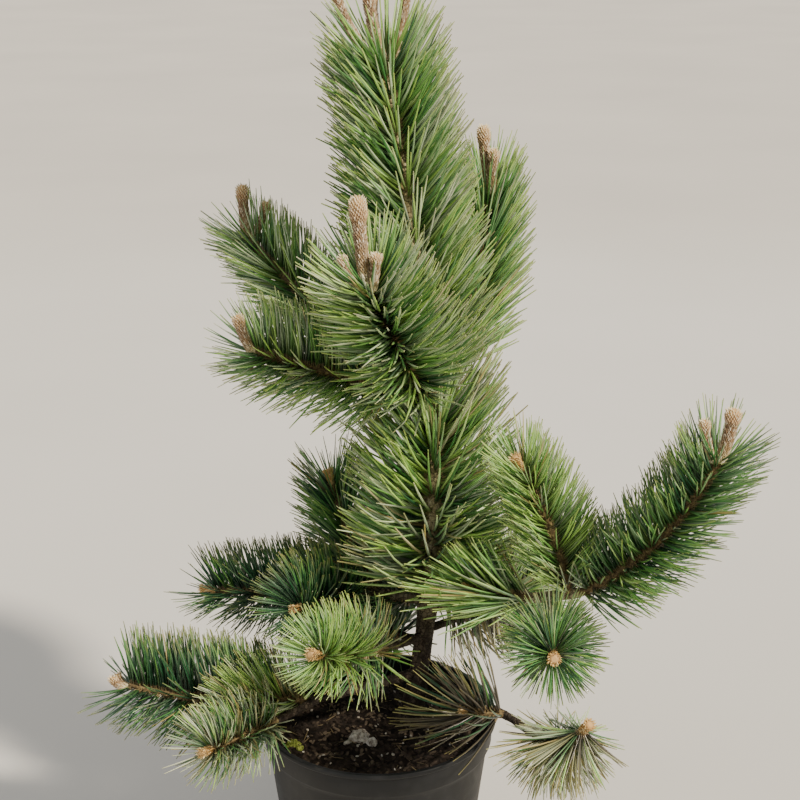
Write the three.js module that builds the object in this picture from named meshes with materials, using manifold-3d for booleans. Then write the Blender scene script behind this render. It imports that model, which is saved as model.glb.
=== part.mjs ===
// A young two-needled pine in a plastic nursery pot, with last year's five shoots below this year's candles.
// Millimetres, +Z up. The origin is the middle of the pot's flat underside, and the front faces -Y.
import * as THREE from "three";
import { mergeVertices } from "three/addons/utils/BufferGeometryUtils.js";
import Module from "manifold-3d";

const wasm = await Module();
wasm.setup();

// The gap that keeps neighbouring solids apart, and how near a needle may come to another mass or limb.
const GAP = 0.3;
const NEEDLE_CLEARANCE = 2.4;

// The pot: a tapered tub with a stacking band and a rolled lip, and drain holes round the edge of its floor.
const RIM_RADIUS = 112.5;
const BASE_RADIUS = 85;
const POT_HEIGHT = 190;
const POT_WALL = 2.4;
const POT_FLOOR = 3;
const LIP_WIDTH = 4;
const LIP_DEPTH = 5;
const BAND_DEPTH = 24;
const BAND_STEP = 2;
const POT_SIDES = 36;
const DRAIN_HOLES = 8;
const DRAIN_RADIUS = 6;
const DRAIN_SIDES = 8;
const DRAIN_CIRCLE = 70;

// The compost that fills the pot, with its crown round the trunk and a dip towards the wall.
const COMPOST_TOP = 172;
const COMPOST_DIP = 5;
const COMPOST_LUMPS = 7;
const LUMP_RADIUS = 7;
const LUMP_CIRCLES = [64, 88];

// The trunk: its foot, two handles that give the lean and the sweep, its tip, and its radii.
const TRUNK_FOOT = new THREE.Vector3(31, 14, COMPOST_TOP + GAP);
const TRUNK_LOW_HANDLE = new THREE.Vector3(69, -29, 422);
const TRUNK_HIGH_HANDLE = new THREE.Vector3(50, 17, 562);
const TRUNK_TIP = new THREE.Vector3(7, 0, 800);
const TRUNK_FOOT_RADIUS = 9.5;
const TRUNK_TIP_RADIUS = 3.6;
const TRUNK_SIDES = 9;
const TRUNK_STEP = 45;
const FLARE = 7;
const FLARE_HEIGHT = 16;
const COLLAR = 1.8;
const COLLAR_HEIGHT = 12;
const WHORLS = [302, 502];

// Boughs are bare wood that carries several shoots. Each is an arc in an upright plane: it leaves its parent
// at a height or a share of the parent's length, and its rise grows by the bend from butt to end.
const BOUGHS = {
  right_bough: { from: "trunk", at: 303, azimuth: -22, rise: 12, bend: 6, length: 149, butt: 6, end: 4.6 },
  left_bough: { from: "trunk", at: 308, azimuth: 149, rise: -9, bend: 4, length: 93, butt: 5.4, end: 4.4 },
  low_left_bough: {
    from: "trunk", at: 228, azimuth: -161, rise: -8, bend: 6, length: 127, butt: 5.2, end: 4,
  },
  low_right_bough: {
    from: "trunk", at: 226, azimuth: -30, rise: -8, bend: -6, length: 104, butt: 4.8, end: 3.8,
  },
};

// Shoots are clothed with needles and end in candles or a bud. bare is the length of the naked butt, which is
// a bough of its own. candles are [length, diameter, lean from upright at the base, azimuth of the lean].
// A bud is [length, diameter] and points along its shoot. What a shoot doesn't say is as in CLOTHING.
const SHOOTS = {
  upper_front: {
    from: "trunk", at: 497, azimuth: -118, rise: 48, bend: 4, length: 179, bare: 21,
    opening: [74, 50], lift: 0.32, needles: [74, 62],
    candles: [[72, 14.5, 9, 180], [28, 10, 14, -40], [30, 7.5, 50, 190]],
  },
  upper_left: {
    from: "trunk", at: 508, azimuth: -160, rise: 16, bend: 8, length: 169, bare: 30,
    opening: [72, 60], lift: 0.35, needles: [60, 46],
    candles: [[34, 10, 34, 190]],
  },
  upper_left_back: {
    from: "trunk", at: 497, azimuth: 156, rise: 31, bend: 12, length: 229, bare: 34,
    opening: [60, 50], lift: 0.25, needles: [62, 44],
    candles: [[46, 11.5, 4, 180], [34, 8, 40, 10]],
  },
  upper_right_back: {
    from: "trunk", at: 504, azimuth: 58, rise: 35, bend: 50, length: 203, bare: 26,
    opening: [50, 36], lift: 0.28, needles: [72, 52],
    candles: [[58, 11.5, 9, 180], [38, 10, 4, -60]],
  },
  upper_back: {
    from: "trunk", at: 494, azimuth: 106, rise: 24, bend: 36, length: 196, bare: 30,
    opening: [56, 42], lift: 0.28, needles: [68, 52],
    candles: [[52, 11, 8, 90], [30, 9, 30, 150]],
  },
  right_tip: {
    from: "right_bough", at: 1, azimuth: -30, rise: 35, bend: 34, length: 193,
    opening: [78, 64], lift: 0.36, needles: [53, 51],
    candles: [[44, 13.5, 18, 0], [35, 9, 26, 180]],
  },
  right_inner: {
    from: "right_bough", at: 0.93, azimuth: -155, rise: 77, bend: -18, length: 141,
    opening: [68, 54], lift: 0.4, needles: [55, 41],
    bud: [13, 10],
  },
  right_front: {
    from: "right_bough", at: 0.8, azimuth: -94, rise: 3, bend: 10, length: 147, bare: 80,
    lift: 0.2, needles: [48, 45],
    bud: [12, 11],
  },
  right_low: {
    from: "right_bough", at: 0.7, azimuth: -168, rise: 12, bend: 6, length: 60,
    opening: [38, 28], lift: 0.35, needles: [80, 72],
    bud: [8, 7],
  },
  left_long: {
    from: "left_bough", at: 1, azimuth: 170, rise: -12, bend: 12, length: 132,
    opening: [78, 64], lift: 0.6, needles: [54, 42],
    bud: [14, 9],
  },
  left_fan: {
    from: "left_bough", at: 0.82, azimuth: -132, rise: 4, bend: 8, length: 80,
    needles: [60, 46],
    bud: [10, 8],
  },
  left_upper: {
    from: "left_bough", at: 0.6, azimuth: 124, rise: 34, bend: 25, length: 118,
    needles: [58, 46],
    bud: [14, 9],
  },
  front_left: {
    from: "trunk", at: 270, azimuth: -128, rise: 6, bend: 20, length: 155, bare: 58,
    opening: [80, 64], lift: 0.35, needles: [52, 42],
    bud: [14, 11],
  },
  low_left_long: {
    from: "low_left_bough", at: 1, azimuth: 178, rise: -1, bend: 16, length: 150,
    opening: [76, 82], lift: 0.55, needles: [62, 50],
    candles: [[15, 8, 80, 165], [14, 8, 70, 195]],
  },
  low_left_front: {
    from: "low_left_bough", at: 0.76, azimuth: -134, rise: -1, bend: 6, length: 132, bare: 56,
    needles: [46, 41],
    bud: [12, 9],
  },
  low_left_mid: {
    from: "low_left_bough", at: 0.88, azimuth: -150, rise: 30, bend: -42, length: 68,
    opening: [56, 40], lift: 0.4, needles: [52, 46],
    bud: [8, 7],
  },
  low_right_tip: {
    from: "low_right_bough", at: 1, azimuth: -50, rise: -14, bend: 66, length: 94, bare: 36,
    opening: [84, 80], lift: -0.95, needles: [58, 54],
    bud: [13, 11],
  },
  low_right_inner: {
    from: "low_right_bough", at: 0.88, azimuth: -168, rise: 10, bend: 6, length: 36,
    opening: [70, 34], lift: 0.3, needles: [74, 68],
    bud: [7, 6],
  },
  back: {
    from: "trunk", at: 298, azimuth: 83, rise: -4, bend: 30, length: 173, bare: 36,
    candles: [[34, 10, 16, 80]],
  },
  back_right: {
    from: "trunk", at: 276, azimuth: 41, rise: -6, bend: 22, length: 184, bare: 40,
    candles: [[28, 10, 30, 40]],
  },
  back_left: {
    from: "trunk", at: 262, azimuth: 122, rise: -17, bend: 22, length: 178, bare: 40,
    bud: [14, 10],
  },
};
const SHOOT_BUTT_RADIUS = 4;
const SHOOT_TIP_RADIUS = 2.7;
const BUTT_SIDES = 7;

// Sleeves are needles that stand on the trunk between two heights, or on a bough between two distances, on a
// thin skin round the wood. One with more vigour than the rest holds places that lie further from its wood.
const SLEEVES = {
  column: {
    on: "trunk", low: 318, high: 492, opening: [86, 46], lift: 0.16, needles: [86, 84],
    sides: 12, row: 9, vigour: 1.7,
  },
  leader: {
    on: "trunk", low: 516, high: 796, opening: [54, 50], lift: 0.05, needles: [78, 68],
    sides: 10, row: 8.4,
    candles: [[85, 12.5, 18, 180], [76, 9, 20, 8], [86, 10, 44, 186], [63, 8, 30, 115]],
  },
  left_butt: {
    on: "left_bough", low: 14, high: 49, opening: [76, 60], lift: 0.4, needles: [72, 66],
    sides: 8, row: 8.4,
  },
  right_butt: {
    on: "right_bough", low: 14, high: 72, opening: [82, 70], lift: -0.5, needles: [58, 54],
    sides: 7, row: 8.4,
  },
};
const SLEEVE_SKIN = 1.6;
const SLEEVE_FIRST_NEEDLE = 2;
const LEADER_CAP = 4;

// Needles: three-sided and pointed, each drawn up out of a facet of its stem, so that its root is as wide as
// the facet. Rows of facets are twisted round the stem, with a number of sides and a step from row to row.
// opening is the needles' angle to the stem at its butt and at its tip, needles their length there, and lift
// their turn towards the light, or downwards where it is negative.
const CLOTHING = {
  sides: 6, row: 7.4, opening: [72, 62], lift: 0.45, needles: [66, 54], firstNeedle: 7, vigour: 1,
};
const OPENING_JITTER = 6;
const TURN_JITTER = 8;
const ROW_SHIFT = 0.38;
const LEAST_OPENING = 0.22;
const SHORTENINGS = [1, 0.85, 0.7, 0.55];
const NEEDLE_ROOT_RADIUS = 2.2;
const CROWDED_ROOT = 0.15;
const GOLDEN_ANGLE = 137.508;
const CANDLE_SIDES = 6;
const CANDLE_STRAIGHTENING = 0.8;
const BUD_ROOT = 3;

const UP = new THREE.Vector3(0, 0, 1);
const rad = THREE.MathUtils.degToRad;
const lerp = THREE.MathUtils.lerp;

// The compass direction of an azimuth, counted from +X towards +Y.
function compass(azimuth) {
  return new THREE.Vector3(Math.cos(rad(azimuth)), Math.sin(rad(azimuth)), 0);
}

// A limb's line: an arc in the upright plane of its azimuth, of a given length.
class Arc extends THREE.Curve {
  constructor(start, { azimuth, rise, bend, length }) {
    super();
    Object.assign(this, { start, length, rise: rad(rise), bend: rad(bend), ahead: compass(azimuth) });
  }

  getPoint(t, target = new THREE.Vector3()) {
    const turned = this.rise + this.bend * t;
    const straight = Math.abs(this.bend) < 1e-6;
    const out = straight ? t * Math.cos(this.rise) : (Math.sin(turned) - Math.sin(this.rise)) / this.bend;
    const up = straight ? t * Math.sin(this.rise) : (Math.cos(this.rise) - Math.cos(turned)) / this.bend;
    target.copy(this.start).addScaledVector(this.ahead, out * this.length);
    return target.addScaledVector(UP, up * this.length);
  }
}

// The place at a distance along a line, and there its direction and the two directions across it.
function shareAt(line, distance) {
  return THREE.MathUtils.clamp(distance / line.getLength(), 0, 1);
}

function placeAt(line, distance) {
  return line.getPointAt(shareAt(line, distance));
}

function frameAt(line, distance) {
  const along = line.getTangentAt(shareAt(line, distance));
  const overall = line.getPoint(1).sub(line.getPoint(0)).normalize();
  const across = Math.abs(overall.z) > 0.98 ? new THREE.Vector3(0, 1, 0) : UP.clone();
  const side = across.cross(along).normalize();
  return { along, side, top: along.clone().cross(side) };
}

// A closed surface with only its places left and its shared corners merged.
function joined(geometry) {
  geometry.deleteAttribute("normal");
  geometry.deleteAttribute("uv");
  return mergeVertices(geometry, 1e-4);
}

function solidOf(geometry) {
  return new wasm.Manifold(
    new wasm.Mesh({
      numProp: 3,
      vertProperties: geometry.attributes.position.array,
      triVerts: new Uint32Array(geometry.index.array),
    }),
  );
}

// A surface of revolution about +Z, from a profile of [radius, height] pairs from axis to axis.
function turned(profile, sides) {
  const geometry = new THREE.LatheGeometry(profile.map(([r, z]) => new THREE.Vector2(r, z)), sides);
  return joined(geometry.rotateX(Math.PI / 2));
}

// The same surface bent onto a line: its height becomes the distance along the line.
function bentOnto(line, geometry) {
  const corners = geometry.attributes.position;
  const corner = new THREE.Vector3();
  for (let i = 0; i < corners.count; i++) {
    corner.fromBufferAttribute(corners, i);
    const { along, side, top } = frameAt(line, corner.z);
    const beyond = corner.z - shareAt(line, corner.z) * line.getLength();
    const place = placeAt(line, corner.z).addScaledVector(along, beyond);
    place.addScaledVector(side, corner.x).addScaledVector(top, corner.y);
    corners.setXYZ(i, place.x, place.y, place.z);
  }
  return geometry;
}

// Even steps from one distance to another, ends included, none longer than the step asked for.
function evenly(from, to, step) {
  const count = Math.max(1, Math.round((to - from) / step));
  return Array.from({ length: count + 1 }, (_, i) => lerp(from, to, i / count));
}

// The profile of a tapering round limb with a ring at each distance. grow makes it fatter and longer.
function limbProfile(rings, radiusAt, grow = 0) {
  const first = rings[0] - grow;
  const last = rings.at(-1) + grow;
  const middle = rings.slice(1, -1).map((distance) => [radiusAt(distance) + grow, distance]);
  const ends = [rings[0], rings.at(-1)].map((distance) => radiusAt(distance) + grow);
  return [[0, first], [ends[0], first], ...middle, [ends[1], last], [0, last]];
}

// Repeatable random numbers from 0 to 1, the same for the same seed.
function seeded(seed) {
  let state = seed >>> 0;
  return () => {
    state = (state + 0x6d2b79f5) >>> 0;
    let mixed = Math.imul(state ^ (state >>> 15), 1 | state);
    mixed = (mixed + Math.imul(mixed ^ (mixed >>> 7), 61 | mixed)) ^ mixed;
    return ((mixed ^ (mixed >>> 14)) >>> 0) / 4294967296;
  };
}

// The trunk's line, its length, and its radius at a distance from the foot.
const trunkLine = new THREE.CubicBezierCurve3(TRUNK_FOOT, TRUNK_LOW_HANDLE, TRUNK_HIGH_HANDLE, TRUNK_TIP);
const TRUNK_LENGTH = trunkLine.getLength();

function trunkDistanceAt(height) {
  let low = 0;
  let high = 1;
  for (let i = 0; i < 30; i++) {
    const middle = (low + high) / 2;
    if (trunkLine.getPointAt(middle).z < height) low = middle;
    else high = middle;
  }
  return low * TRUNK_LENGTH;
}

const WHORL_DISTANCES = WHORLS.map(trunkDistanceAt);

function trunkRadius(distance) {
  const taper = lerp(TRUNK_FOOT_RADIUS, TRUNK_TIP_RADIUS, Math.min(1, distance / TRUNK_LENGTH));
  const flare = FLARE * Math.exp(-distance / FLARE_HEIGHT);
  const collars = WHORL_DISTANCES.map((d) => COLLAR * Math.exp(-(((distance - d) / COLLAR_HEIGHT) ** 2)));
  return taper + flare + collars[0] + collars[1];
}

// The trunk's rings crowd at the flare and at the collars, where its radius changes fast.
const flareRings = [-FLARE_HEIGHT / 2, 0, FLARE_HEIGHT / 2, FLARE_HEIGHT, FLARE_HEIGHT * 2.2];
const collarRings = WHORL_DISTANCES.flatMap((d) => [d - COLLAR_HEIGHT, d, d + COLLAR_HEIGHT]);
const plainRings = evenly(FLARE_HEIGHT * 2.2, TRUNK_LENGTH, TRUNK_STEP).slice(1);
const farFromCollars = (distance) => collarRings.every((ring) => Math.abs(ring - distance) > COLLAR_HEIGHT);
const trunkRings = [...flareRings, ...collarRings, ...plainRings.filter(farFromCollars)];
trunkRings.sort((a, b) => a - b);

// Every limb by name: its line, the rings that shape its wood, and its radius at a distance.
const limbs = {
  trunk: { line: trunkLine, rings: trunkRings, radiusAt: trunkRadius, sides: TRUNK_SIDES },
};

function startOn(parent, at) {
  const { line, rings } = limbs[parent];
  return placeAt(line, parent === "trunk" ? trunkDistanceAt(at) : at * rings.at(-1));
}

for (const [name, bough] of Object.entries(BOUGHS)) {
  const line = new Arc(startOn(bough.from, bough.at), bough);
  const radiusAt = (distance) => lerp(bough.butt, bough.end, distance / bough.length);
  const rings = [0, bough.length / 2, bough.length];
  limbs[name] = { line, rings, radiusAt, sides: BUTT_SIDES, parent: bough.from };
}

// Masses by name: the line of the stem, the clothed stretch of it, and what carries it.
const masses = {};
for (const [name, sleeve] of Object.entries(SLEEVES)) {
  const { line, radiusAt: barkAt } = limbs[sleeve.on];
  const distanceOf = sleeve.on === "trunk" ? trunkDistanceAt : (at) => at;
  const [from, to] = [distanceOf(sleeve.low), distanceOf(sleeve.high)];
  const radiusAt = (distance) => barkAt(distance) + GAP + SLEEVE_SKIN;
  masses[name] = {
    ...CLOTHING, firstNeedle: SLEEVE_FIRST_NEEDLE, ...sleeve, line, radiusAt, from, to, parent: sleeve.on,
  };
}
for (const [name, shoot] of Object.entries(SHOOTS)) {
  const line = new Arc(startOn(shoot.from, shoot.at), shoot);
  const radiusAt = (distance) => lerp(SHOOT_BUTT_RADIUS, SHOOT_TIP_RADIUS, distance / shoot.length);
  const butt = `${name}_bough`;
  if (shoot.bare) {
    limbs[butt] = { line, rings: [0, shoot.bare], radiusAt, sides: BUTT_SIDES, parent: shoot.from };
  }
  const parent = shoot.bare ? butt : shoot.from;
  masses[name] = { ...CLOTHING, ...shoot, line, radiusAt, from: shoot.bare ?? 0, to: shoot.length, parent };
}

// Candles and buds at the end of a stem: the line that each follows and its radius. A candle leans out at its
// base and straightens up, and a bud goes on the way its shoot points.
function candlesOf(mass) {
  const end = placeAt(mass.line, mass.to);
  if (mass.bud) {
    const [length, diameter] = mass.bud;
    const { along } = frameAt(mass.line, mass.to);
    const base = end.addScaledVector(along, -BUD_ROOT);
    const line = new THREE.LineCurve3(base, base.clone().addScaledVector(along, length + BUD_ROOT));
    return [{ line, radius: diameter / 2 }];
  }
  return (mass.candles ?? []).map(([length, diameter, lean, azimuth], i) => {
    const base = end.clone().addScaledVector(compass(azimuth), i === 0 ? 0 : diameter / 2);
    base.z -= BUD_ROOT;
    const arc = { azimuth, rise: 90 - lean, bend: lean * CANDLE_STRAIGHTENING, length: length + BUD_ROOT };
    return { line: new Arc(base, arc), radius: diameter / 2 };
  });
}

for (const mass of Object.values(masses)) mass.tips = candlesOf(mass);

// Space: each mass owns the places that lie nearer to its own stem and candles than to any other mass's.
function polyline(line, from, to) {
  return evenly(from, to, 12).map((distance) => placeAt(line, distance));
}

function distanceTo(points, place) {
  let nearest = Infinity;
  const stretch = new THREE.Line3();
  const foot = new THREE.Vector3();
  for (let i = 1; i < points.length; i++) {
    stretch.set(points[i - 1], points[i]).closestPointToPoint(place, true, foot);
    nearest = Math.min(nearest, foot.distanceTo(place));
  }
  return nearest;
}

for (const mass of Object.values(masses)) {
  mass.axes = [polyline(mass.line, mass.from, mass.to)];
  for (const { line } of mass.tips) mass.axes.push(polyline(line, 0, line.getLength()));
}
for (const limb of Object.values(limbs)) limb.axis = polyline(limb.line, limb.rings[0], limb.rings.at(-1));

function claim(mass, place) {
  return Math.min(...mass.axes.map((axis) => distanceTo(axis, place))) / mass.vigour;
}

function clearOfPot(place) {
  const out = Math.hypot(place.x, place.y);
  return place.z > POT_HEIGHT + NEEDLE_CLEARANCE || (place.z > 0 && out > RIM_RADIUS + NEEDLE_CLEARANCE);
}

function clearOfLimbs(place) {
  return Object.values(limbs).every((limb) => {
    const distance = limb === limbs.trunk ? trunkDistanceAt(place.z) : 0;
    return distanceTo(limb.axis, place) > limb.radiusAt(distance) + NEEDLE_CLEARANCE;
  });
}

function clearOfCandles(mass, place) {
  return mass.tips.every(({ radius }, i) => distanceTo(mass.axes[i + 1], place) > radius + NEEDLE_CLEARANCE);
}

function keepsToItsSpace(mass, place) {
  const own = claim(mass, place);
  const others = Object.values(masses).filter((other) => other !== mass);
  return (
    clearOfPot(place) &&
    clearOfLimbs(place) &&
    clearOfCandles(mass, place) &&
    others.every((other) => claim(other, place) > own + 2 * NEEDLE_CLEARANCE)
  );
}

// The way a needle points: it opens away from the stem and turns a little towards the light, or hangs.
function needleAim(mass, distance, turn, opening) {
  const { along, side, top } = frameAt(mass.line, distance);
  const outward = side.multiplyScalar(Math.cos(turn)).addScaledVector(top, Math.sin(turn));
  const aim = along.multiplyScalar(Math.cos(opening)).addScaledVector(outward, Math.sin(opening));
  aim.addScaledVector(UP, mass.lift).normalize();
  return aim.dot(outward) > LEAST_OPENING ? aim : null;
}

// Two needles cross where their lines come nearer than their thicknesses there.
function cross(one, other) {
  const offset = new THREE.Vector3().subVectors(one.root, other.root);
  const both = one.reach.dot(other.reach);
  const [a, c] = [one.reach.lengthSq(), other.reach.lengthSq()];
  const [d, e] = [one.reach.dot(offset), other.reach.dot(offset)];
  const flatness = a * c - both * both;
  let s = flatness > 1e-6 ? (both * e - c * d) / flatness : CROWDED_ROOT;
  s = THREE.MathUtils.clamp(s, CROWDED_ROOT, 1);
  const t = THREE.MathUtils.clamp((both * s + e) / c, CROWDED_ROOT, 1);
  s = THREE.MathUtils.clamp((both * t - d) / a, CROWDED_ROOT, 1);
  const gap = offset.addScaledVector(one.reach, s).addScaledVector(other.reach, -t).length();
  return gap < NEEDLE_ROOT_RADIUS * (2 - s - t) + GAP;
}

const CHECKED_SHARES = [0.25, 0.4, 0.55, 0.7, 0.85, 1];

function fits(mass, needle, others) {
  const inSpace = (share) => keepsToItsSpace(mass, needle.root.clone().addScaledVector(needle.reach, share));
  return CHECKED_SHARES.every(inSpace) && !others.some((other) => cross(needle, other));
}

// The needle that a facet of a stem may be drawn out to, from the facet's middle before and after bending.
function needleFrom(mass, flat, middle, others, random) {
  const jitter = (most) => most * (2 * random() - 1);
  const share = (flat.z - mass.from) / (mass.to - mass.from);
  const opening = rad(lerp(mass.opening[0], mass.opening[1], share ** 1.5) + jitter(OPENING_JITTER));
  const turn = Math.atan2(flat.y, flat.x) + rad(jitter(TURN_JITTER));
  const full = lerp(mass.needles[0], mass.needles[1], share ** 3) * lerp(0.94, 1.06, random());
  const aim = needleAim(mass, flat.z, turn, opening);
  if (!aim) return null;
  const tries = SHORTENINGS.map((part) => ({ root: middle, reach: aim.clone().multiplyScalar(full * part) }));
  return tries.find((needle) => fits(mass, needle, others)) ?? null;
}

// A needled stem, by the seeded rule: past its bare foot every second facet is drawn out to a needle's point,
// nearer or not at all where the needle would leave the mass's space or cross another.
function needledStem(mass, rings, seed) {
  const random = seeded(seed);
  const straight = twisted(turned(limbProfile(rings, mass.radiusAt), mass.sides), mass);
  const bent = bentOnto(mass.line, straight.clone());
  const points = [...bent.attributes.position.array];
  const faces = [];
  const needles = [];
  facetsOf(bent).forEach((facet, i) => {
    const flat = middleOf(straight, facet);
    const clothed = flat.z > mass.from + mass.firstNeedle && flat.z < mass.to;
    const drawn = i % 2 === 0 && clothed && new Set(facet).size === 3;
    const needle = drawn ? needleFrom(mass, flat, middleOf(bent, facet), needles, random) : null;
    if (needle) {
      const [a, b, c] = facet;
      const point = points.length / 3;
      points.push(...needle.root.clone().add(needle.reach));
      faces.push(a, b, point, b, c, point, c, a, point);
      needles.push(needle);
    } else {
      faces.push(...facet);
    }
  });
  const geometry = new THREE.BufferGeometry();
  geometry.setAttribute("position", new THREE.Float32BufferAttribute(points, 3));
  return solidOf(geometry.setIndex(faces));
}

// The rows of facets turn a little from one to the next, as needles do round a shoot.
function twisted(geometry, { sides, row }) {
  const corners = geometry.attributes.position;
  const corner = new THREE.Vector3();
  for (let i = 0; i < corners.count; i++) {
    corner.fromBufferAttribute(corners, i);
    corner.applyAxisAngle(UP, (ROW_SHIFT * 2 * Math.PI * corner.z) / (sides * row));
    corners.setXYZ(i, corner.x, corner.y, corner.z);
  }
  return geometry;
}

function facetsOf(geometry) {
  const corner = (i) => geometry.index.getX(i);
  const count = geometry.index.count / 3;
  return Array.from({ length: count }, (_, i) => [corner(3 * i), corner(3 * i + 1), corner(3 * i + 2)]);
}

function middleOf(geometry, facet) {
  const corners = geometry.attributes.position;
  const sum = new THREE.Vector3();
  for (const i of facet) sum.add(new THREE.Vector3().fromBufferAttribute(corners, i));
  return sum.divideScalar(3);
}

// A candle is a tapered finger with a blunt head, and a bud is a short one.
function candleSolid({ line, radius }) {
  const length = line.getLength();
  const bulk = [
    [0.75, 0],
    [0.85, 0.4],
    [1, 0.75],
    [0.65, 0.96],
  ];
  const profile = [[0, 0], ...bulk.map(([r, z]) => [r * radius, z * length]), [0, length]];
  return solidOf(bentOnto(line, turned(profile, CANDLE_SIDES)));
}

// The biggest piece of a solid, without the loose scraps that a cut may leave.
function biggestPiece(solid) {
  const pieces = solid.decompose();
  return pieces.reduce((best, piece) => (piece.volume() > best.volume() ? piece : best));
}

// A limb is cut off level at the ground or, where it has a parent, clear of the parent's wood.
function limbSolid({ line, rings, radiusAt, sides }, grow = 0) {
  return solidOf(bentOnto(line, turned(limbProfile(rings, radiusAt, grow), sides)));
}

function fittedLimb(limb) {
  const whole = limbSolid(limb);
  return biggestPiece(whole.subtract(limb.parent ? limbSolid(limbs[limb.parent], GAP) : belowGround()));
}

function belowGround() {
  const depth = COMPOST_TOP + GAP;
  const block = new THREE.BoxGeometry(RIM_RADIUS, RIM_RADIUS, depth);
  return solidOf(joined(block.translate(TRUNK_FOOT.x, TRUNK_FOOT.y, depth / 2)));
}

function massSolid(mass, seed) {
  const reach = mass === masses.leader ? TRUNK_LENGTH + LEADER_CAP : mass.to;
  const rings = [mass.from, ...evenly(mass.from + mass.firstNeedle, reach, mass.row)];
  let solid = needledStem(mass, rings, seed);
  for (const tip of mass.tips) solid = solid.add(candleSolid(tip));
  return biggestPiece(solid.subtract(limbSolid(limbs[mass.parent], GAP)));
}

function potSolid() {
  const bandFoot = POT_HEIGHT - BAND_DEPTH;
  const lipFoot = POT_HEIGHT - LIP_DEPTH;
  const wall = RIM_RADIUS - LIP_WIDTH;
  const shell = solidOf(
    turned(
      [
        [0, 0],
        [BASE_RADIUS, 0],
        [wall - BAND_STEP - 1, bandFoot - 3],
        [wall, bandFoot],
        [wall + 0.6, lipFoot],
        [RIM_RADIUS, lipFoot + 0.8],
        [RIM_RADIUS - 0.8, POT_HEIGHT],
        [wall - POT_WALL + 1, POT_HEIGHT],
        [wall - POT_WALL, bandFoot],
        [wall - BAND_STEP - 1 - POT_WALL, bandFoot - 3],
        [BASE_RADIUS - POT_WALL, POT_FLOOR],
        [0, POT_FLOOR],
      ],
      POT_SIDES,
    ),
  );
  return drainHoles().reduce((pot, hole) => pot.subtract(hole), shell);
}

function drainHoles() {
  return Array.from({ length: DRAIN_HOLES }, (_, i) => {
    const spot = compass((360 / DRAIN_HOLES) * (i + 0.5)).multiplyScalar(DRAIN_CIRCLE);
    const hole = new THREE.CylinderGeometry(DRAIN_RADIUS, DRAIN_RADIUS, POT_FLOOR * 4, DRAIN_SIDES);
    return solidOf(joined(hole.rotateX(Math.PI / 2).translate(spot.x, spot.y, 0)));
  });
}

// The compost follows the inside of the pot, and its lumps keep clear of the trunk's foot.
function compostSolid() {
  const wall = RIM_RADIUS - LIP_WIDTH - POT_WALL - GAP;
  const bandFoot = POT_HEIGHT - BAND_DEPTH;
  const random = seeded(5);
  let solid = solidOf(
    turned(
      [
        [0, POT_FLOOR + GAP],
        [BASE_RADIUS - POT_WALL - GAP, POT_FLOOR + GAP],
        [wall - BAND_STEP - 1.4, bandFoot - 3],
        [wall - 0.4, COMPOST_TOP - COMPOST_DIP],
        [wall * 0.72, COMPOST_TOP - 1],
        [wall * 0.6, COMPOST_TOP],
        [0, COMPOST_TOP],
      ],
      POT_SIDES,
    ),
  );
  for (let i = 0; i < COMPOST_LUMPS; i++) {
    const size = LUMP_RADIUS * lerp(0.6, 1.3, random());
    const spot = compass(i * GOLDEN_ANGLE + 190).multiplyScalar(lerp(...LUMP_CIRCLES, random()));
    const lump = new THREE.IcosahedronGeometry(size, 0);
    lump.scale(1, 1, 0.6).rotateZ(random() * Math.PI).translate(spot.x, spot.y, COMPOST_TOP - 2);
    solid = solid.add(solidOf(joined(lump)));
  }
  return solid;
}

// Colours of the pieces: [colour, roughness].
const PLASTIC = [0x2b2d2f, 0.55];
const COMPOST = [0x3a2c24, 0.95];
const BARK = [0x6b5545, 0.9];
const NEEDLES = [0x4c7a3a, 0.5];

function meshOf(name, solid, [color, roughness]) {
  const { vertProperties, triVerts } = solid.getMesh();
  const geometry = new THREE.BufferGeometry();
  geometry.setAttribute("position", new THREE.BufferAttribute(new Float32Array(vertProperties), 3));
  geometry.setIndex(new THREE.BufferAttribute(new Uint32Array(triVerts), 1));
  geometry.computeVertexNormals();
  const material = new THREE.MeshStandardMaterial({ color, roughness, metalness: 0, flatShading: true });
  const mesh = new THREE.Mesh(geometry, material);
  mesh.name = name;
  return mesh;
}

const plant = new THREE.Group();
plant.name = "potted_conifer";
plant.add(meshOf("pot", potSolid(), PLASTIC));
plant.add(meshOf("compost", compostSolid(), COMPOST));
for (const [name, limb] of Object.entries(limbs)) {
  plant.add(meshOf(name, fittedLimb(limb), BARK));
}
Object.entries(masses).forEach(([name, mass], i) => {
  plant.add(meshOf(`${name}_needles`, massSolid(mass, 101 + i), NEEDLES));
});

export default plant;
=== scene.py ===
# %% [markdown]
# A young pine in a nursery pot. The solids of the CAD model are the frame: every piece below is grown on
# the same lines, by the same rule, with finer parts. Lengths in the plant's tables are millimetres, as in
# the solids, and each mesh is turned into metres where it is made. Camera, lights and crumbs are in metres.
#
# The order is camera and light, materials, the lines that everything follows, needles, wood, candles, pot
# and compost.

# %% Load the frame
import math

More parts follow.
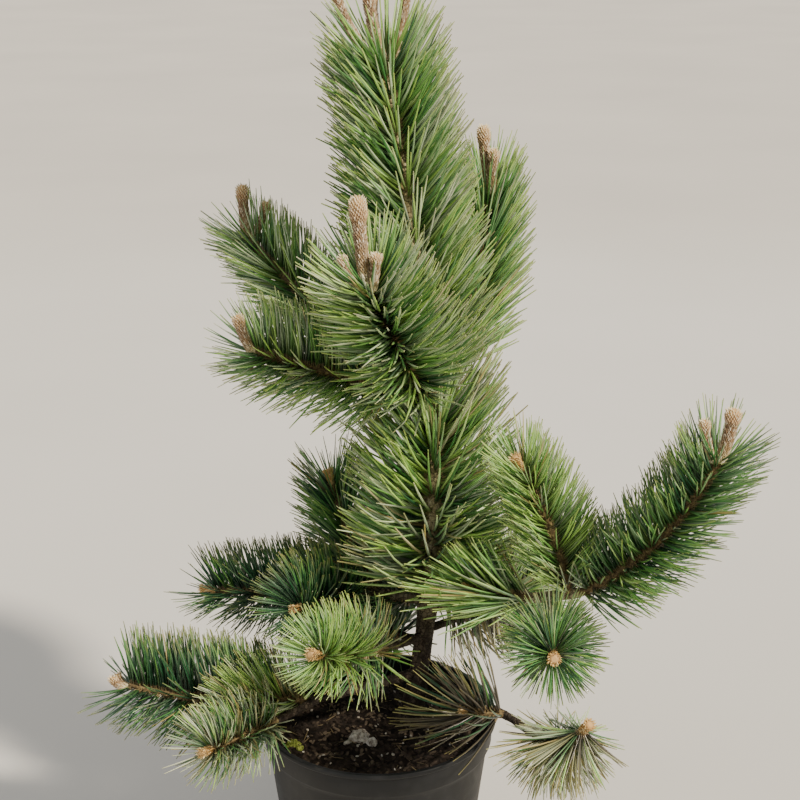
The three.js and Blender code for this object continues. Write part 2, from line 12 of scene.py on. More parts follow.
import bpy
import numpy as np
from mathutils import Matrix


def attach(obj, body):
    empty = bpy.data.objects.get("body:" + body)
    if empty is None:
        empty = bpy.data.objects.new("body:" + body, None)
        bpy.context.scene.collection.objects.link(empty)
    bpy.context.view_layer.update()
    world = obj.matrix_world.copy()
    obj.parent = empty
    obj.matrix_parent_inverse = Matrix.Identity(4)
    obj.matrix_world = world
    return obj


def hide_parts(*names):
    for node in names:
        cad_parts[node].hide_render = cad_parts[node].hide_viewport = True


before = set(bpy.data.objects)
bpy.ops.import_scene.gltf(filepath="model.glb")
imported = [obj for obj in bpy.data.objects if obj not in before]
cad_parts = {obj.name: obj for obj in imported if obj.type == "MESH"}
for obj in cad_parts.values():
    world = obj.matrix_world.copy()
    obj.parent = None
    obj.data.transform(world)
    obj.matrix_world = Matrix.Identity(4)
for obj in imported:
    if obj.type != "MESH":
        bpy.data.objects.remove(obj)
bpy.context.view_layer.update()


MM = 0.001
UP = np.array([0.0, 0.0, 1.0])
scene = bpy.context.scene

# %% [markdown]
# The photograph looks down at the plant by 19 degrees from about 1.3 metres. The lens follows from how
# large the pot's rim looks, and the camera's height from how round it looks. A pale floor and a pale sky
# keep the studio plain. The sun stood high on the right in the photograph, so the key is a soft sun, which
# lights the floor evenly to its far end, and two large lamps open the shadows.

# %% Camera and light
CAMERA_PLACE = (0.02097, -1.24834, 0.93505)
CAMERA_DIP = 19.1
FOCAL_PIXELS = 1493
FRAME_PIXELS = 800
SENSOR_WIDTH = 36

camera = bpy.data.objects.new("camera", bpy.data.cameras.new("camera"))
camera.location = CAMERA_PLACE
camera.rotation_euler = (math.radians(90 - CAMERA_DIP), 0, 0)
camera.data.sensor_width = SENSOR_WIDTH
camera.data.lens = SENSOR_WIDTH * FOCAL_PIXELS / FRAME_PIXELS
camera.data.clip_end = 200
scene.collection.objects.link(camera)
scene.camera = camera


def linear(code):
    """A colour written as hex, as the linear RGBA that Blender's sockets hold."""
    parts = [int(code[i:i + 2], 16) / 255 for i in (1, 3, 5)]
    return [p / 12.92 if p <= 0.04045 else ((p + 0.055) / 1.055) ** 2.4 for p in parts] + [1.0]


def lamp(name, kind, strength, colour, place, target, **settings):
    """A light at a place, turned to a target."""
    data = bpy.data.lights.new(name, kind)
    data.energy = strength
    data.color = linear(colour)[:3]
    for key, value in settings.items():
        setattr(data, key, value)
    light = bpy.data.objects.new(name, data)
    light.location = place
    away = np.array(place) - np.array(target)
    tilt = math.atan2(math.hypot(away[0], away[1]), away[2])
    light.rotation_euler = (tilt, 0, math.atan2(away[1], away[0]) + math.pi / 2)
    scene.collection.objects.link(light)


lamp("key", "SUN", 5.6, "#fff3df", (1.5, -1.1, 2.1), (0.03, 0, 0.45), angle=math.radians(6))
lamp("fill", "AREA", 16, "#eaf1ff", (-2.0, -1.6, 1.4), (0.03, 0, 0.4), size=2.4)
lamp("back", "AREA", 14, "#ffffff", (0.4, 2.2, 1.8), (0.03, 0, 0.5), size=1.6)

world = bpy.data.worlds.new("studio")
world.use_nodes = True
world.node_tree.nodes["Background"].inputs["Color"].default_value = linear("#e8e6e2")
world.node_tree.nodes["Background"].inputs["Strength"].default_value = 0.6
scene.world = world
print("camera, three lights and a pale sky")

# %% [markdown]
# A material and a Geometry Nodes tree are both nodes with settings, joined by links. One small function
# adds a node to either and hands on one of its outputs, so that a tree reads from its first node to its
# last. Colours are mixed by the Mix node, whose colour inputs are numbers 6 and 7 and whose colour output
# is number 2.

# %% One function for every node
MATH, MIX, RAMP = "ShaderNodeMath", "ShaderNodeMix", "ShaderNodeValToRGB"
COLOURS = dict(data_type="RGBA", out=2)


def add(tree, kind, *values, out=0, stops=(), **settings):
    """Adds a node and gives its output out, or all of them where out is None.

    Values fill the inputs in order, and a dict among them fills inputs by name or number. A value that is a
    socket becomes a link. stops are the colours of a ramp, as (place, hex).
    """
    node = tree.nodes.new(kind)
    for key, value in settings.items():
        setattr(node, key, value)
    inputs = {}
    for i, value in enumerate(values):
        inputs.update(value if isinstance(value, dict) else {i: value})
    for key, value in inputs.items():
        if isinstance(value, bpy.types.NodeSocket):
            tree.links.new(value, node.inputs[key])
        else:
            node.inputs[key].default_value = value
    for i, (place, code) in enumerate(stops):
        element = node.color_ramp.elements[i] if i < 2 else node.color_ramp.elements.new(place)
        element.position = place
        element.color = linear(code)
    return node.outputs if out is None else node.outputs[out]


def material(name, roughness, specular):
    """A new material, its tree and its shader."""
    made = bpy.data.materials.new(name)
    made.use_nodes = True
    tree = made.node_tree
    shader = tree.nodes["Principled BSDF"]
    shader.inputs["Roughness"].default_value = roughness
    shader.inputs["Specular IOR Level"].default_value = specular
    return made, tree, shader


def grain(tree, size_mm, detail=4, stretch=(1, 1, 1)):
    """Noise in the object's own space whose features are about size_mm across."""
    place = add(tree, "ShaderNodeTexCoord", out="Object")
    scale = [s / (size_mm * MM) for s in stretch]
    mapped = add(tree, "ShaderNodeMapping", {"Vector": place, "Scale": scale})
    return add(tree, "ShaderNodeTexNoise", {"Vector": mapped, "Scale": 1, "Detail": detail}, out="Fac")


def surfaced(tree, shader, colour, height=None, depth_mm=0):
    """Gives a shader its colour and, where a height is given, its relief."""
    tree.links.new(colour, shader.inputs["Base Color"])
    if height is not None:
        bump = add(tree, "ShaderNodeBump", {"Height": height, "Distance": depth_mm * MM, "Strength": 1})
        tree.links.new(bump, shader.inputs["Normal"])


def grainy(name, roughness, specular, colour_grain, stops, relief_grain=None, depth_mm=0):
    """A material with noise in its colour and, where it has a second grain, in its relief.

    A grain is the size of a noise in millimetres and its detail.
    """
    made, tree, shader = material(name, roughness, specular)
    colour = add(tree, RAMP, grain(tree, *colour_grain), stops=stops)
    surfaced(tree, shader, colour, grain(tree, *relief_grain) if relief_grain else None, depth_mm)
    return made


# %% Floor
floor_paint = grainy("studio_floor", 0.9, 0.2, (900, 4), [(0.3, "#cfccc6"), (0.7, "#d6d3cd")])
bpy.ops.mesh.primitive_plane_add(size=120)
floor = bpy.context.object
floor.name = "studio_floor"
floor.data.materials.append(floor_paint)
print("floor laid")

# %% [markdown]
# Needles are waxy leaves with a soft gloss. Each has one plain green, with painted shade towards the root,
# where its neighbours shade it. A papery sheath holds each pair at its root, the tip is a little yellow,
# and a pale painted highlight lies on the outer part of some needles more than on others.
#
# The plant isn't one green: mid green and fresh green, grey-green and olive on old shoots, and straw and
# brown where needles have died. Deep blue-green is painted shade, on the left and where the shade falls,
# yellow-green is partly painted light where the light falls, and brown is painted shade as well as dead
# needles on the dimmest spray. Each of these is a material of its own, dealt out needle by needle from the
# mix of its spray.

# %% Needle materials
# deep is painted shade, bright is partly painted light and brown is partly painted shade; the rest are the
# needles' own colours.
TONES = {
    "deep": "#285a39",
    "mid": "#488444",
    "fresh": "#6da44e",
    "bright": "#a0ca60",
    "olive": "#858452",
    "grey": "#7e8c72",
    "straw": "#ad9b60",
    "brown": "#4b4333",
}
# How much of its colour a needle keeps at the root, under painted shade.
ROOT_LIGHT = 0.62
# The first colour is the pale one of a painted highlight, the second a yellowed tip and the third the
# sheath.
PAINTED_GLINT, YELLOWED, SHEATH = "#e4ecd0", "#b3a75a", "#8d7a58"
SHEATH_SHARE = 0.075


def darker(code, share):
    """The same colour, darker: each part of the hex code times a share."""
    return "#" + "".join(f"{round(int(code[i:i + 2], 16) * share):02x}" for i in (1, 3, 5))


def needle_material(name, code):
    """along runs from 0 at the needle's root to 1 at its tip, and shade is how much painted highlight the
    needle has.
    """
    made, tree, shader = material(f"needle_{name}", 0.33, 0.75)
    along = add(tree, "ShaderNodeAttribute", attribute_name="along", out="Fac")
    shade = add(tree, "ShaderNodeAttribute", attribute_name="shade", out="Fac")
    open_air = add(tree, "ShaderNodeMapRange", {"Value": along, "From Min": 0.1, "From Max": 0.55})
    # Painted shade: each needle is darker towards its root.
    own = add(tree, MIX, {0: open_air, 6: linear(darker(code, ROOT_LIGHT)), 7: linear(code)}, **COLOURS)
    # Painted highlight: some needles are paler on their outer part.
    glint = add(tree, MATH, shade, open_air, operation="MULTIPLY")
    glinted = add(tree, MIX, {0: glint, 6: own, 7: linear(PAINTED_GLINT)}, **COLOURS)
    tip = add(tree, MATH, add(tree, MATH, along, 9, operation="POWER"), 0.5, operation="MULTIPLY")
    tipped = add(tree, MIX, {0: tip, 6: glinted, 7: linear(YELLOWED)}, **COLOURS)
    sheath = add(tree, MATH, along, SHEATH_SHARE, operation="LESS_THAN")
    cover = add(tree, MATH, sheath, 0.75, operation="MULTIPLY")
    surfaced(tree, shader, add(tree, MIX, {0: cover, 6: tipped, 7: linear(SHEATH)}, **COLOURS))
    return made


needle_materials = {name: needle_material(name, code) for name, code in TONES.items()}
print(len(needle_materials), "greens and straws")

# %% [markdown]
# Bark at the foot of a young pine is dark and flaky, with cracks between its plates; its near black here
# is partly painted shade under the crown. Higher up, on younger wood, it is a paler olive-tan with hardly
# a crack, made paler still as painted light where the light falls on the trunk. Twigs are smoother and
# brown, with the paler cushions that needles stood on.

# %% Wood materials
PLATES_PER_METRE = 210
OLD_SHADED_HEIGHT, YOUNG_LIT_HEIGHT = 0.27, 0.4
CRACK_WIDTH, CRACK_LOSS = 0.05, 0.035

bark, tree, shader = material("pine_bark", 0.88, 0.25)
place = add(tree, "ShaderNodeTexCoord", out="Object")
flakes = grain(tree, 6, stretch=(1, 1, 0.45))
plates = add(
    tree, "ShaderNodeTexVoronoi", {"Vector": place, "Scale": PLATES_PER_METRE}, feature="DISTANCE_TO_EDGE",
    out="Distance",
)
# Dark old bark, partly painted shade, and pale young bark, partly painted light.
shaded_old_bark = add(tree, RAMP, flakes, stops=[(0.3, "#221d19"), (0.5, "#3b342d"), (0.72, "#5e5347")])
lit_young_bark = add(tree, RAMP, flakes, stops=[(0.3, "#7d7050"), (0.5, "#aa9e76"), (0.72, "#cfc5a0")])
height = add(tree, "ShaderNodeSeparateXYZ", place, out="Z")
# Paler with height: younger bark, and painted light above painted shade.
youth_and_light = add(tree, "ShaderNodeMapRange", {"Value": height, "From Min": OLD_SHADED_HEIGHT, "From Max": YOUNG_LIT_HEIGHT})
bark_colour = add(tree, MIX, {0: youth_and_light, 6: shaded_old_bark, 7: lit_young_bark}, **COLOURS)
healed = add(tree, MATH, youth_and_light, CRACK_LOSS, operation="MULTIPLY")
crack_width = add(tree, MATH, CRACK_WIDTH, healed, operation="SUBTRACT")
cracked = add(tree, MATH, plates, crack_width, operation="LESS_THAN")
colour = add(tree, MIX, {0: cracked, 6: bark_colour, 7: linear("#2b2219")}, **COLOURS)
domes = add(tree, MATH, add(tree, MATH, plates, 3, operation="MULTIPLY"), 0.6, operation="MINIMUM")
surfaced(tree, shader, colour, add(tree, MATH, flakes, domes, operation="ADD"), 1.2)

cushions = (2.6, 4)
twig_stops = [(0.32, "#433624"), (0.55, "#6e5d3d"), (0.75, "#9c8d60")]
twig = grainy("pine_twig", 0.75, 0.3, cushions, twig_stops, cushions, 0.8)
print("bark and twig materials")

# %% [markdown]
# Candles are this year's shoots before their needles open: a brown core under papery scales that are
# green-cream at the foot, tan along the shaft and cream at the head. Buds are shorter, golden and
# stickier. Resin whitens some scales on both. The attribute share runs from 0 at the foot to 1 at the
# head.

# %% Candle and bud materials
candle_core, tree, shader = material("candle_core", 0.7, 0.3)
share = add(tree, "ShaderNodeAttribute", attribute_name="share", out="Fac")
core_stops = [(0, "#a3a56c"), (0.25, "#8d7458"), (0.8, "#86684f"), (1, "#c9a26a")]
surfaced(tree, shader, add(tree, RAMP, share, stops=core_stops))


def scale_material(name, roughness, specular, resin, *stops):
    """Papery scales: colours from foot to head, and a paler one where resin has dried."""
    made, tree, shader = material(name, roughness, specular)
    share = add(tree, "ShaderNodeAttribute", attribute_name="share", out="Fac")
    shade = add(tree, "ShaderNodeAttribute", attribute_name="shade", out="Fac")
    papery = add(tree, RAMP, share, stops=stops)
    surfaced(tree, shader, add(tree, MIX, {0: shade, 6: papery, 7: linear(resin)}, **COLOURS))
    return made


candle_scale = scale_material(
    "candle_scale", 0.6, 0.4, "#f6ead2",
    (0, "#c5c08e"), (0.22, "#ab9168"), (0.5, "#94785a"), (0.72, "#a1835f"), (0.8, "#cfae84"), (1, "#ecdcb4"),
)
bud_scale = scale_material(
    "bud_scale", 0.45, 0.5, "#f1dfae",
    (0, "#a98a55"), (0.5, "#c79a55"), (1, "#dcb873"),
)
print("candle and bud materials")

# %% [markdown]
# The plant's plan, the same as in the solids. Boughs are bare wood. Shoots are clothed with needles and
# end in candles or a bud. Each is an arc in an upright plane: it leaves the trunk at a height, or a bough
# at a share of its length, and its rise grows by the bend. Sleeves are needles that stand on the trunk or
# on a bough itself.
#
# Every line is sampled finely once, and then read by distance from its butt.

# %% The plan of the plant
TRUNK_HANDLES = [(31, 14, 172.3), (69, -29, 422), (50, 17, 562), (7, 0, 800)]
TRUNK_RADII = (9.5, 3.6)
FLARE, FLARE_HEIGHT = 7, 16
COLLAR, COLLAR_HEIGHT = 1.8, 12
WHORLS = (302, 502)

# path is what a limb grows from, where on it, azimuth, rise and bend in degrees, and length.
BOUGHS = {
    "right_bough": dict(path=("trunk", 303, -22, 12, 6, 149), radii=(6, 4.6)),
    "left_bough": dict(path=("trunk", 308, 149, -9, 4, 93), radii=(5.4, 4.4)),
    "low_left_bough": dict(path=("trunk", 228, -161, -8, 6, 127), radii=(5.2, 4)),
    "low_right_bough": dict(path=("trunk", 226, -30, -8, -6, 104), radii=(4.8, 3.8)),
}

# candles are (length, diameter, lean at the base, azimuth of the lean), and a bud is (length, diameter).
# opening is the needles' angle to the stem at its butt and at its tip, jitter how far they stray from it,
# and needles their length there. step is their spacing and bow how far they bend. lift turns them up, or
# down below zero. worn is how many show their age at the butt, parting how many are left out in front of
# the stem, and vigour how much space the mass claims.
CLOTHING = dict(
    opening=(72, 62), jitter=8, needles=(66, 54), step=0.3, bow=7, lift=0.45, worn=0.25, parting=0.8,
    vigour=1, candles=(),
)
SHOOTS = {
    "upper_front": dict(
        path=("trunk", 497, -118, 48, 4, 179), bare=21, opening=(74, 50), lift=0.32, needles=(74, 62),
        mix="sunny", candles=[(72, 14.5, 9, 180), (28, 10, 14, -40), (30, 7.5, 50, 190)],
    ),
    "upper_left": dict(
        path=("trunk", 508, -160, 16, 8, 169), bare=30, opening=(72, 60), lift=0.35, needles=(60, 46),
        mix="sunny", candles=[(34, 10, 34, 190)],
    ),
    "upper_left_back": dict(
        path=("trunk", 497, 156, 31, 12, 229), bare=34, opening=(60, 50), lift=0.25, needles=(62, 44),
        mix="sunny", candles=[(46, 11.5, 4, 180), (34, 8, 40, 10)],
    ),
    "upper_right_back": dict(
        path=("trunk", 504, 58, 35, 50, 203), bare=26, opening=(50, 36), lift=0.28, needles=(72, 52),
        mix="vivid", candles=[(58, 11.5, 9, 180), (38, 10, 4, -60)],
    ),
    "upper_back": dict(
        path=("trunk", 494, 106, 24, 36, 196), bare=30, opening=(56, 42), lift=0.28, needles=(68, 52),
        mix="vivid", candles=[(52, 11, 8, 90), (30, 9, 30, 150)],
    ),
    "right_tip": dict(
        path=("right_bough", 1, -30, 35, 34, 193), opening=(78, 64), lift=0.36, needles=(53, 51),
        mix="mixed", candles=[(44, 13.5, 18, 0), (35, 9, 26, 180)],
    ),
    "right_inner": dict(
        path=("right_bough", 0.93, -155, 77, -18, 141), opening=(68, 54), lift=0.4, needles=(55, 41),
        mix="light", bud=(13, 10),
    ),
    "right_front": dict(
        path=("right_bough", 0.8, -94, 3, 10, 147), bare=80, lift=0.2, needles=(48, 45), mix="mixed",
        bud=(12, 11),
    ),
    "right_low": dict(
        path=("right_bough", 0.7, -168, 12, 6, 60), opening=(38, 28), lift=0.35, needles=(80, 72),
        step=0.42, jitter=15, worn=0.1, mix="vivid", bud=(8, 7),
    ),
    "left_long": dict(
        path=("left_bough", 1, 170, -12, 12, 132), opening=(78, 64), lift=0.6, needles=(54, 42),
        mix="shaded", bud=(14, 9),
    ),
    "left_fan": dict(
        path=("left_bough", 0.82, -132, 4, 8, 80), needles=(60, 46), mix="shaded", bud=(10, 8),
    ),
    "left_upper": dict(
        path=("left_bough", 0.6, 124, 34, 25, 118), needles=(58, 46), mix="mixed", bud=(14, 9),
    ),
    "front_left": dict(
        path=("trunk", 270, -128, 6, 20, 155), bare=58, opening=(80, 64), lift=0.35, needles=(52, 42),
        mix="light", worn=1.8, bud=(14, 11),
    ),
    "low_left_long": dict(
        path=("low_left_bough", 1, 178, -1, 16, 150), opening=(76, 82), lift=0.55, needles=(62, 50),
        mix="shaded", worn=0.8, candles=[(15, 8, 80, 165), (14, 8, 70, 195)],
    ),
    "low_left_front": dict(
        path=("low_left_bough", 0.76, -134, -1, 6, 132), bare=56, needles=(46, 41), mix="old", bud=(12, 9),
    ),
    "low_left_mid": dict(
        path=("low_left_bough", 0.88, -150, 30, -42, 68), opening=(56, 40), lift=0.4, needles=(52, 46),
        mix="yellow", bud=(8, 7),
    ),
    "low_right_tip": dict(
        path=("low_right_bough", 1, -50, -14, 66, 94), bare=36, opening=(84, 80), lift=-0.95,
        needles=(58, 54), mix="dull", bud=(13, 11),
    ),
    "low_right_inner": dict(
        path=("low_right_bough", 0.88, -168, 10, 6, 36), opening=(70, 34), lift=0.3, needles=(74, 68),
        step=0.55, bow=18, mix="dim", bud=(7, 6),
    ),
    "back": dict(path=("trunk", 298, 83, -4, 30, 173), bare=36, mix="shaded", candles=[(34, 10, 16, 80)]),
    "back_right": dict(
        path=("trunk", 276, 41, -6, 22, 184), bare=40, mix="sunny", candles=[(28, 10, 30, 40)],
    ),
    "back_left": dict(path=("trunk", 262, 122, -17, 22, 178), bare=40, mix="shaded", bud=(14, 10)),
}
SLEEVES = {
    "column": dict(
        on="trunk", low=318, high=492, opening=(86, 46), lift=0.16, needles=(86, 84), vigour=1.7, step=0.3,
        bow=16, jitter=13, parting=0.45, mix="trunk",
    ),
    "leader": dict(
        on="trunk", low=516, high=796, opening=(54, 50), lift=0.05, needles=(78, 68), step=0.24,
        mix="sunny", candles=[(85, 12.5, 18, 180), (76, 9, 20, 8), (86, 10, 44, 186), (63, 8, 30, 115)],
    ),
    "left_butt": dict(
        on="left_bough", low=14, high=49, opening=(76, 60), lift=0.4, needles=(72, 66), mix="shaded",
    ),
    "right_butt": dict(
        on="right_bough", low=14, high=72, opening=(82, 70), lift=-0.5, needles=(58, 54), step=0.5, bow=10,
        mix="dead",
    ),
}
print(len(BOUGHS), "boughs,", len(SHOOTS), "shoots and", len(SLEEVES), "sleeves")


# %% Lines to grow along
ARC_POINTS, CURVE_POINTS = 121, 400
UPRIGHT = 0.98
SHOOT_RADII = (4, 2.7)


def compass(azimuth):
    turn = math.radians(azimuth)
    return np.array([math.cos(turn), math.sin(turn), 0.0])


def unit(vectors):
    return vectors / np.linalg.norm(vectors, axis=-1, keepdims=True)


class Line:
    """A limb's middle line, read by distance from its butt, in millimetres."""

    def __init__(self, points):
        steps = np.linalg.norm(np.diff(points, axis=0), axis=1)
        self.points = points
        self.distances = np.concatenate([[0], np.cumsum(steps)])
        self.length = self.distances[-1]

    def at(self, distance):
        columns = [np.interp(distance, self.distances, self.points[:, k]) for k in range(3)]
        return np.stack(columns, axis=-1)

    def around(self, distance, turn=0.0):
        """The way along the line, and the way outward that is turned round it by so much."""
        along = unit(self.at(np.minimum(distance + 1, self.length)) - self.at(np.maximum(distance - 1, 0)))
        overall = unit(self.points[-1] - self.points[0])
        ahead = np.array([0.0, 1.0, 0.0]) if abs(overall[2]) > UPRIGHT else UP
        side = unit(np.cross(ahead, along))
        turn = np.asarray(turn)[..., None]
        return along, side * np.cos(turn) + np.cross(along, side) * np.sin(turn)


def arc(start, azimuth, rise, bend, length):
    """An arc in the upright plane of its azimuth."""
    t = np.linspace(0, 1, ARC_POINTS)
    rises = np.radians(rise + bend * t)
    steps = np.cos(rises)[:, None] * compass(azimuth) + np.sin(rises)[:, None] * UP
    middles = (steps[1:] + steps[:-1]) / 2 * length / (ARC_POINTS - 1)
    return Line(start + np.concatenate([np.zeros((1, 3)), np.cumsum(middles, axis=0)]))


def bezier(handles):
    a, b, c, d = (np.array(h, float) for h in handles)
    t = np.linspace(0, 1, CURVE_POINTS)[:, None]
    return Line((1 - t) ** 3 * a + 3 * t * (1 - t) ** 2 * b + 3 * t ** 2 * (1 - t) * c + t ** 3 * d)


trunk_line = bezier(TRUNK_HANDLES)


def trunk_distance(height):
    return float(np.interp(height, trunk_line.points[:, 2], trunk_line.distances))


def trunk_radius(distance):
    radius = np.interp(distance, [0, trunk_line.length], TRUNK_RADII)
    radius = radius + FLARE * np.exp(-distance / FLARE_HEIGHT)
    for whorl in WHORLS:
        radius = radius + COLLAR * np.exp(-((distance - trunk_distance(whorl)) / COLLAR_HEIGHT) ** 2)
    return radius


def tapered(radii, length):
    return lambda distance: np.interp(distance, [0, length], radii)


limbs = {"trunk": dict(line=trunk_line, radius=trunk_radius, reach=trunk_line.length)}


def arc_of(plan):
    """The line of a bough or shoot, from the place where it leaves its parent."""
    parent, at, *way = plan["path"]
    limb = limbs[parent]
    start = limb["line"].at(trunk_distance(at) if parent == "trunk" else at * limb["reach"])
    return arc(start, *way)


for name, bough in BOUGHS.items():
    length = bough["path"][-1]
    limbs[name] = dict(line=arc_of(bough), radius=tapered(bough["radii"], length), reach=length)

masses = {}
for name, sleeve in SLEEVES.items():
    limb = limbs[sleeve["on"]]
    low, high = sleeve["low"], sleeve["high"]
    if sleeve["on"] == "trunk":
        low, high = trunk_distance(low), trunk_distance(high)
    stem = dict(line=limb["line"], radius=limb["radius"], low_end=low, high_end=high)
    masses[name] = {**CLOTHING, **sleeve, **stem}
for name, shoot in SHOOTS.items():
    length, bare = shoot["path"][-1], shoot.get("bare", 0)
    line, radius = arc_of(shoot), tapered(SHOOT_RADII, length)
    if bare:
        limbs[f"{name}_bough"] = dict(line=line, radius=radius, reach=bare)
    stem = dict(line=line, radius=radius, low_end=bare, high_end=length)
    masses[name] = {**CLOTHING, **shoot, **stem}
print(len(limbs), "limbs and", len(masses), "masses")

# %% [markdown]
# Candles lean out at the foot and straighten up. A bud goes on the way its shoot points. Both are lines
# too, so that needles can keep clear of them and scales can be laid on them.

# %% Candle and bud lines
STRAIGHTENING = 0.8
ROOT = 3
BUD_POINTS = 25


def tips_of(mass):
    """The lines and radii of a mass's candles, or of its bud."""
    end = mass["line"].at(mass["high_end"])
    if "bud" in mass:
        length, diameter = mass["bud"]
        along = mass["line"].around(mass["high_end"])[0]
        base = end - along * ROOT
        points = base + np.linspace(0, 1, BUD_POINTS)[:, None] * along * (length + ROOT)
        return [dict(line=Line(points), radius=diameter / 2, bud=True)]
    tips = []
    for i, (length, diameter, lean, azimuth) in enumerate(mass["candles"]):
        base = end + compass(azimuth) * (diameter / 2 if i else 0) - UP * ROOT
        line = arc(base, azimuth, 90 - lean, lean * STRAIGHTENING, length + ROOT)
        tips.append(dict(line=line, radius=diameter / 2, bud=False))
    return tips


for mass in masses.values():
    mass["tips"] = tips_of(mass)
print(sum(len(mass["tips"]) for mass in masses.values()), "candles and buds")

# %% [markdown]
# A mass holds the places that lie nearer to its own stem and candles than to any other's. A fine needle
# may reach a little past that border, because real shoots comb through each other. A needle is shortened
# to where it would leave its space, touch wood or a candle, or enter the pot, and is left out when less
# than half of it would be left.

# %% The space of each mass
SAMPLE_STEP, WOOD_STEP = 6, 3.0
BORDER = 16
SHARES = np.array([0.2, 0.35, 0.5, 0.6, 0.7, 0.8, 0.9, 1.0])
RIM_RADIUS, POT_HEIGHT = 112.5, 190
WOOD_GAP, RIM_GAP = 0.8, 1


def sampled(line, low, high):
    return line.at(np.linspace(low, high, max(2, int((high - low) / SAMPLE_STEP) + 1)))


axes = []
for mass in masses.values():
    stem = sampled(mass["line"], mass["low_end"], mass["high_end"])
    tips = [sampled(tip["line"], 0, tip["line"].length) for tip in mass["tips"]]
    axes.append(np.concatenate([stem, *tips]))
axis_points = np.concatenate(axes)
axis_starts = np.cumsum([0] + [len(axis) for axis in axes[:-1]])
vigours = np.array([mass["vigour"] for mass in masses.values()])

wood_points, wood_radii = [], []
for limb in limbs.values():
    distances = np.arange(0, limb["reach"], WOOD_STEP)
    wood_points.append(limb["line"].at(distances))
    wood_radii.append(limb["radius"](distances))
for mass in masses.values():
    for tip in mass["tips"]:
        wood_points.append(sampled(tip["line"], ROOT, tip["line"].length))
        wood_radii.append(np.full(len(wood_points[-1]), tip["radius"]))
wood_points, wood_radii = np.concatenate(wood_points), np.concatenate(wood_radii)


def spans(places, targets):
    """Every distance from places to targets."""
    squares = (places ** 2).sum(1)[:, None] + (targets ** 2).sum(1) - 2 * places @ targets.T
    return np.sqrt(np.maximum(squares, 0))


def in_space(index, places):
    """Which places a needle of that mass may reach."""
    claims = np.minimum.reduceat(spans(places, axis_points), axis_starts, axis=1) / vigours
    own = claims[:, index].copy()
    claims[:, index] = np.inf
    clear = (spans(places, wood_points) > wood_radii + WOOD_GAP).all(axis=1)
    out = np.hypot(places[:, 0], places[:, 1])
    above = (places[:, 2] > POT_HEIGHT) | ((places[:, 2] > 0) & (out > RIM_RADIUS + RIM_GAP))
    return (claims.min(axis=1) > own - BORDER) & clear & above


print(len(axis_points), "axis points and", len(wood_points), "wood points")

# %% [markdown]
# Now the needles. A pine's needles stand in pairs on a spiral round the shoot. They open wide at the butt
# and close in at the tip, and the light lifts them. Here a pair is two points on the stem, each with an
# aim, a bow, a size, a tone and a shade. Geometry Nodes then puts a needle on each point: that is far
# faster than making each mesh in Python, and the bow is applied once all needles are real.

# %% Where the needles stand
GOLDEN_ANGLE = math.radians(137.508)
NEEDLE_SEED = 301
SPLAY = 9
FIRST_NEEDLE = 3
TURN_NOISE = 0.15
SIZE_RANGE, TWIN_RANGE = (0.88, 1.06), (0.97, 1.0)
SPLAY_RANGE, BOW_RANGE = (0.4, 1.3), (0.1, 1.2)
ROOT_SHARE = 0.8
HALF_GAP = 0.5
SHORTEST = 0.5
# The most painted highlight a needle can have.
MOST_GLINT = 0.8
TO_VIEWER = np.array([0.0, -0.94, 0.33])

# A mix gives the tones of a spray in proportion. The shaded, dim and mixed mixes are dark as painted shade,
# and the sunny, vivid, light, trunk and yellow mixes light as painted light, after how light fell on each
# spray. FALLEN is how many of the worn needles are gone, and the table after it is how much painted
# highlight the needles of a mix have, where it isn't 1.
MIXES = {
    "shaded": dict(deep=9, mid=3, fresh=0.6, grey=0.6),
    "mixed": dict(deep=3, mid=5, fresh=4, bright=1, grey=0.6, straw=0.1),
    "sunny": dict(deep=0.8, mid=3.6, fresh=6, bright=4.4, grey=1, straw=0.1),
    "vivid": dict(deep=0.5, mid=3, fresh=6, bright=5, grey=0.5, straw=0.1),
    "light": dict(mid=0.6, fresh=4.5, bright=8, grey=0.5, straw=0.2),
    "trunk": dict(deep=0.4, mid=2.6, fresh=5, bright=7, grey=1.5, olive=2, straw=0.4),
    "old": dict(deep=1.5, mid=3, fresh=2, bright=1, olive=2.5, grey=2, straw=0.8),
    "yellow": dict(fresh=1.5, bright=9, olive=0.8, straw=0.3),
    "dull": dict(mid=1, fresh=1, bright=1.5, olive=5, grey=1.5, straw=1.5, brown=1),
    "dim": dict(deep=2, brown=6, olive=1, straw=0.3),
    "dead": dict(brown=5, straw=3, olive=3, mid=1),
}
FALLEN = 0.5
# How much painted highlight the needles of each mix have: little on shaded sprays, more on sunlit ones.
GLINT_BY_MIX = {"shaded": 0.2, "dim": 0.1, "vivid": 0.4, "mixed": 0.4, "light": 0.5, "trunk": 0.8, "yellow": 1.2}
TONE_NAMES = list(TONES)


def tones(mix, count, random):
    """Deals out tones in the proportions of a mix."""
    weights = np.array([MIXES[mix].get(tone, 0) for tone in TONE_NAMES], float)
    return random.choice(len(TONE_NAMES), count, p=weights / weights.sum())


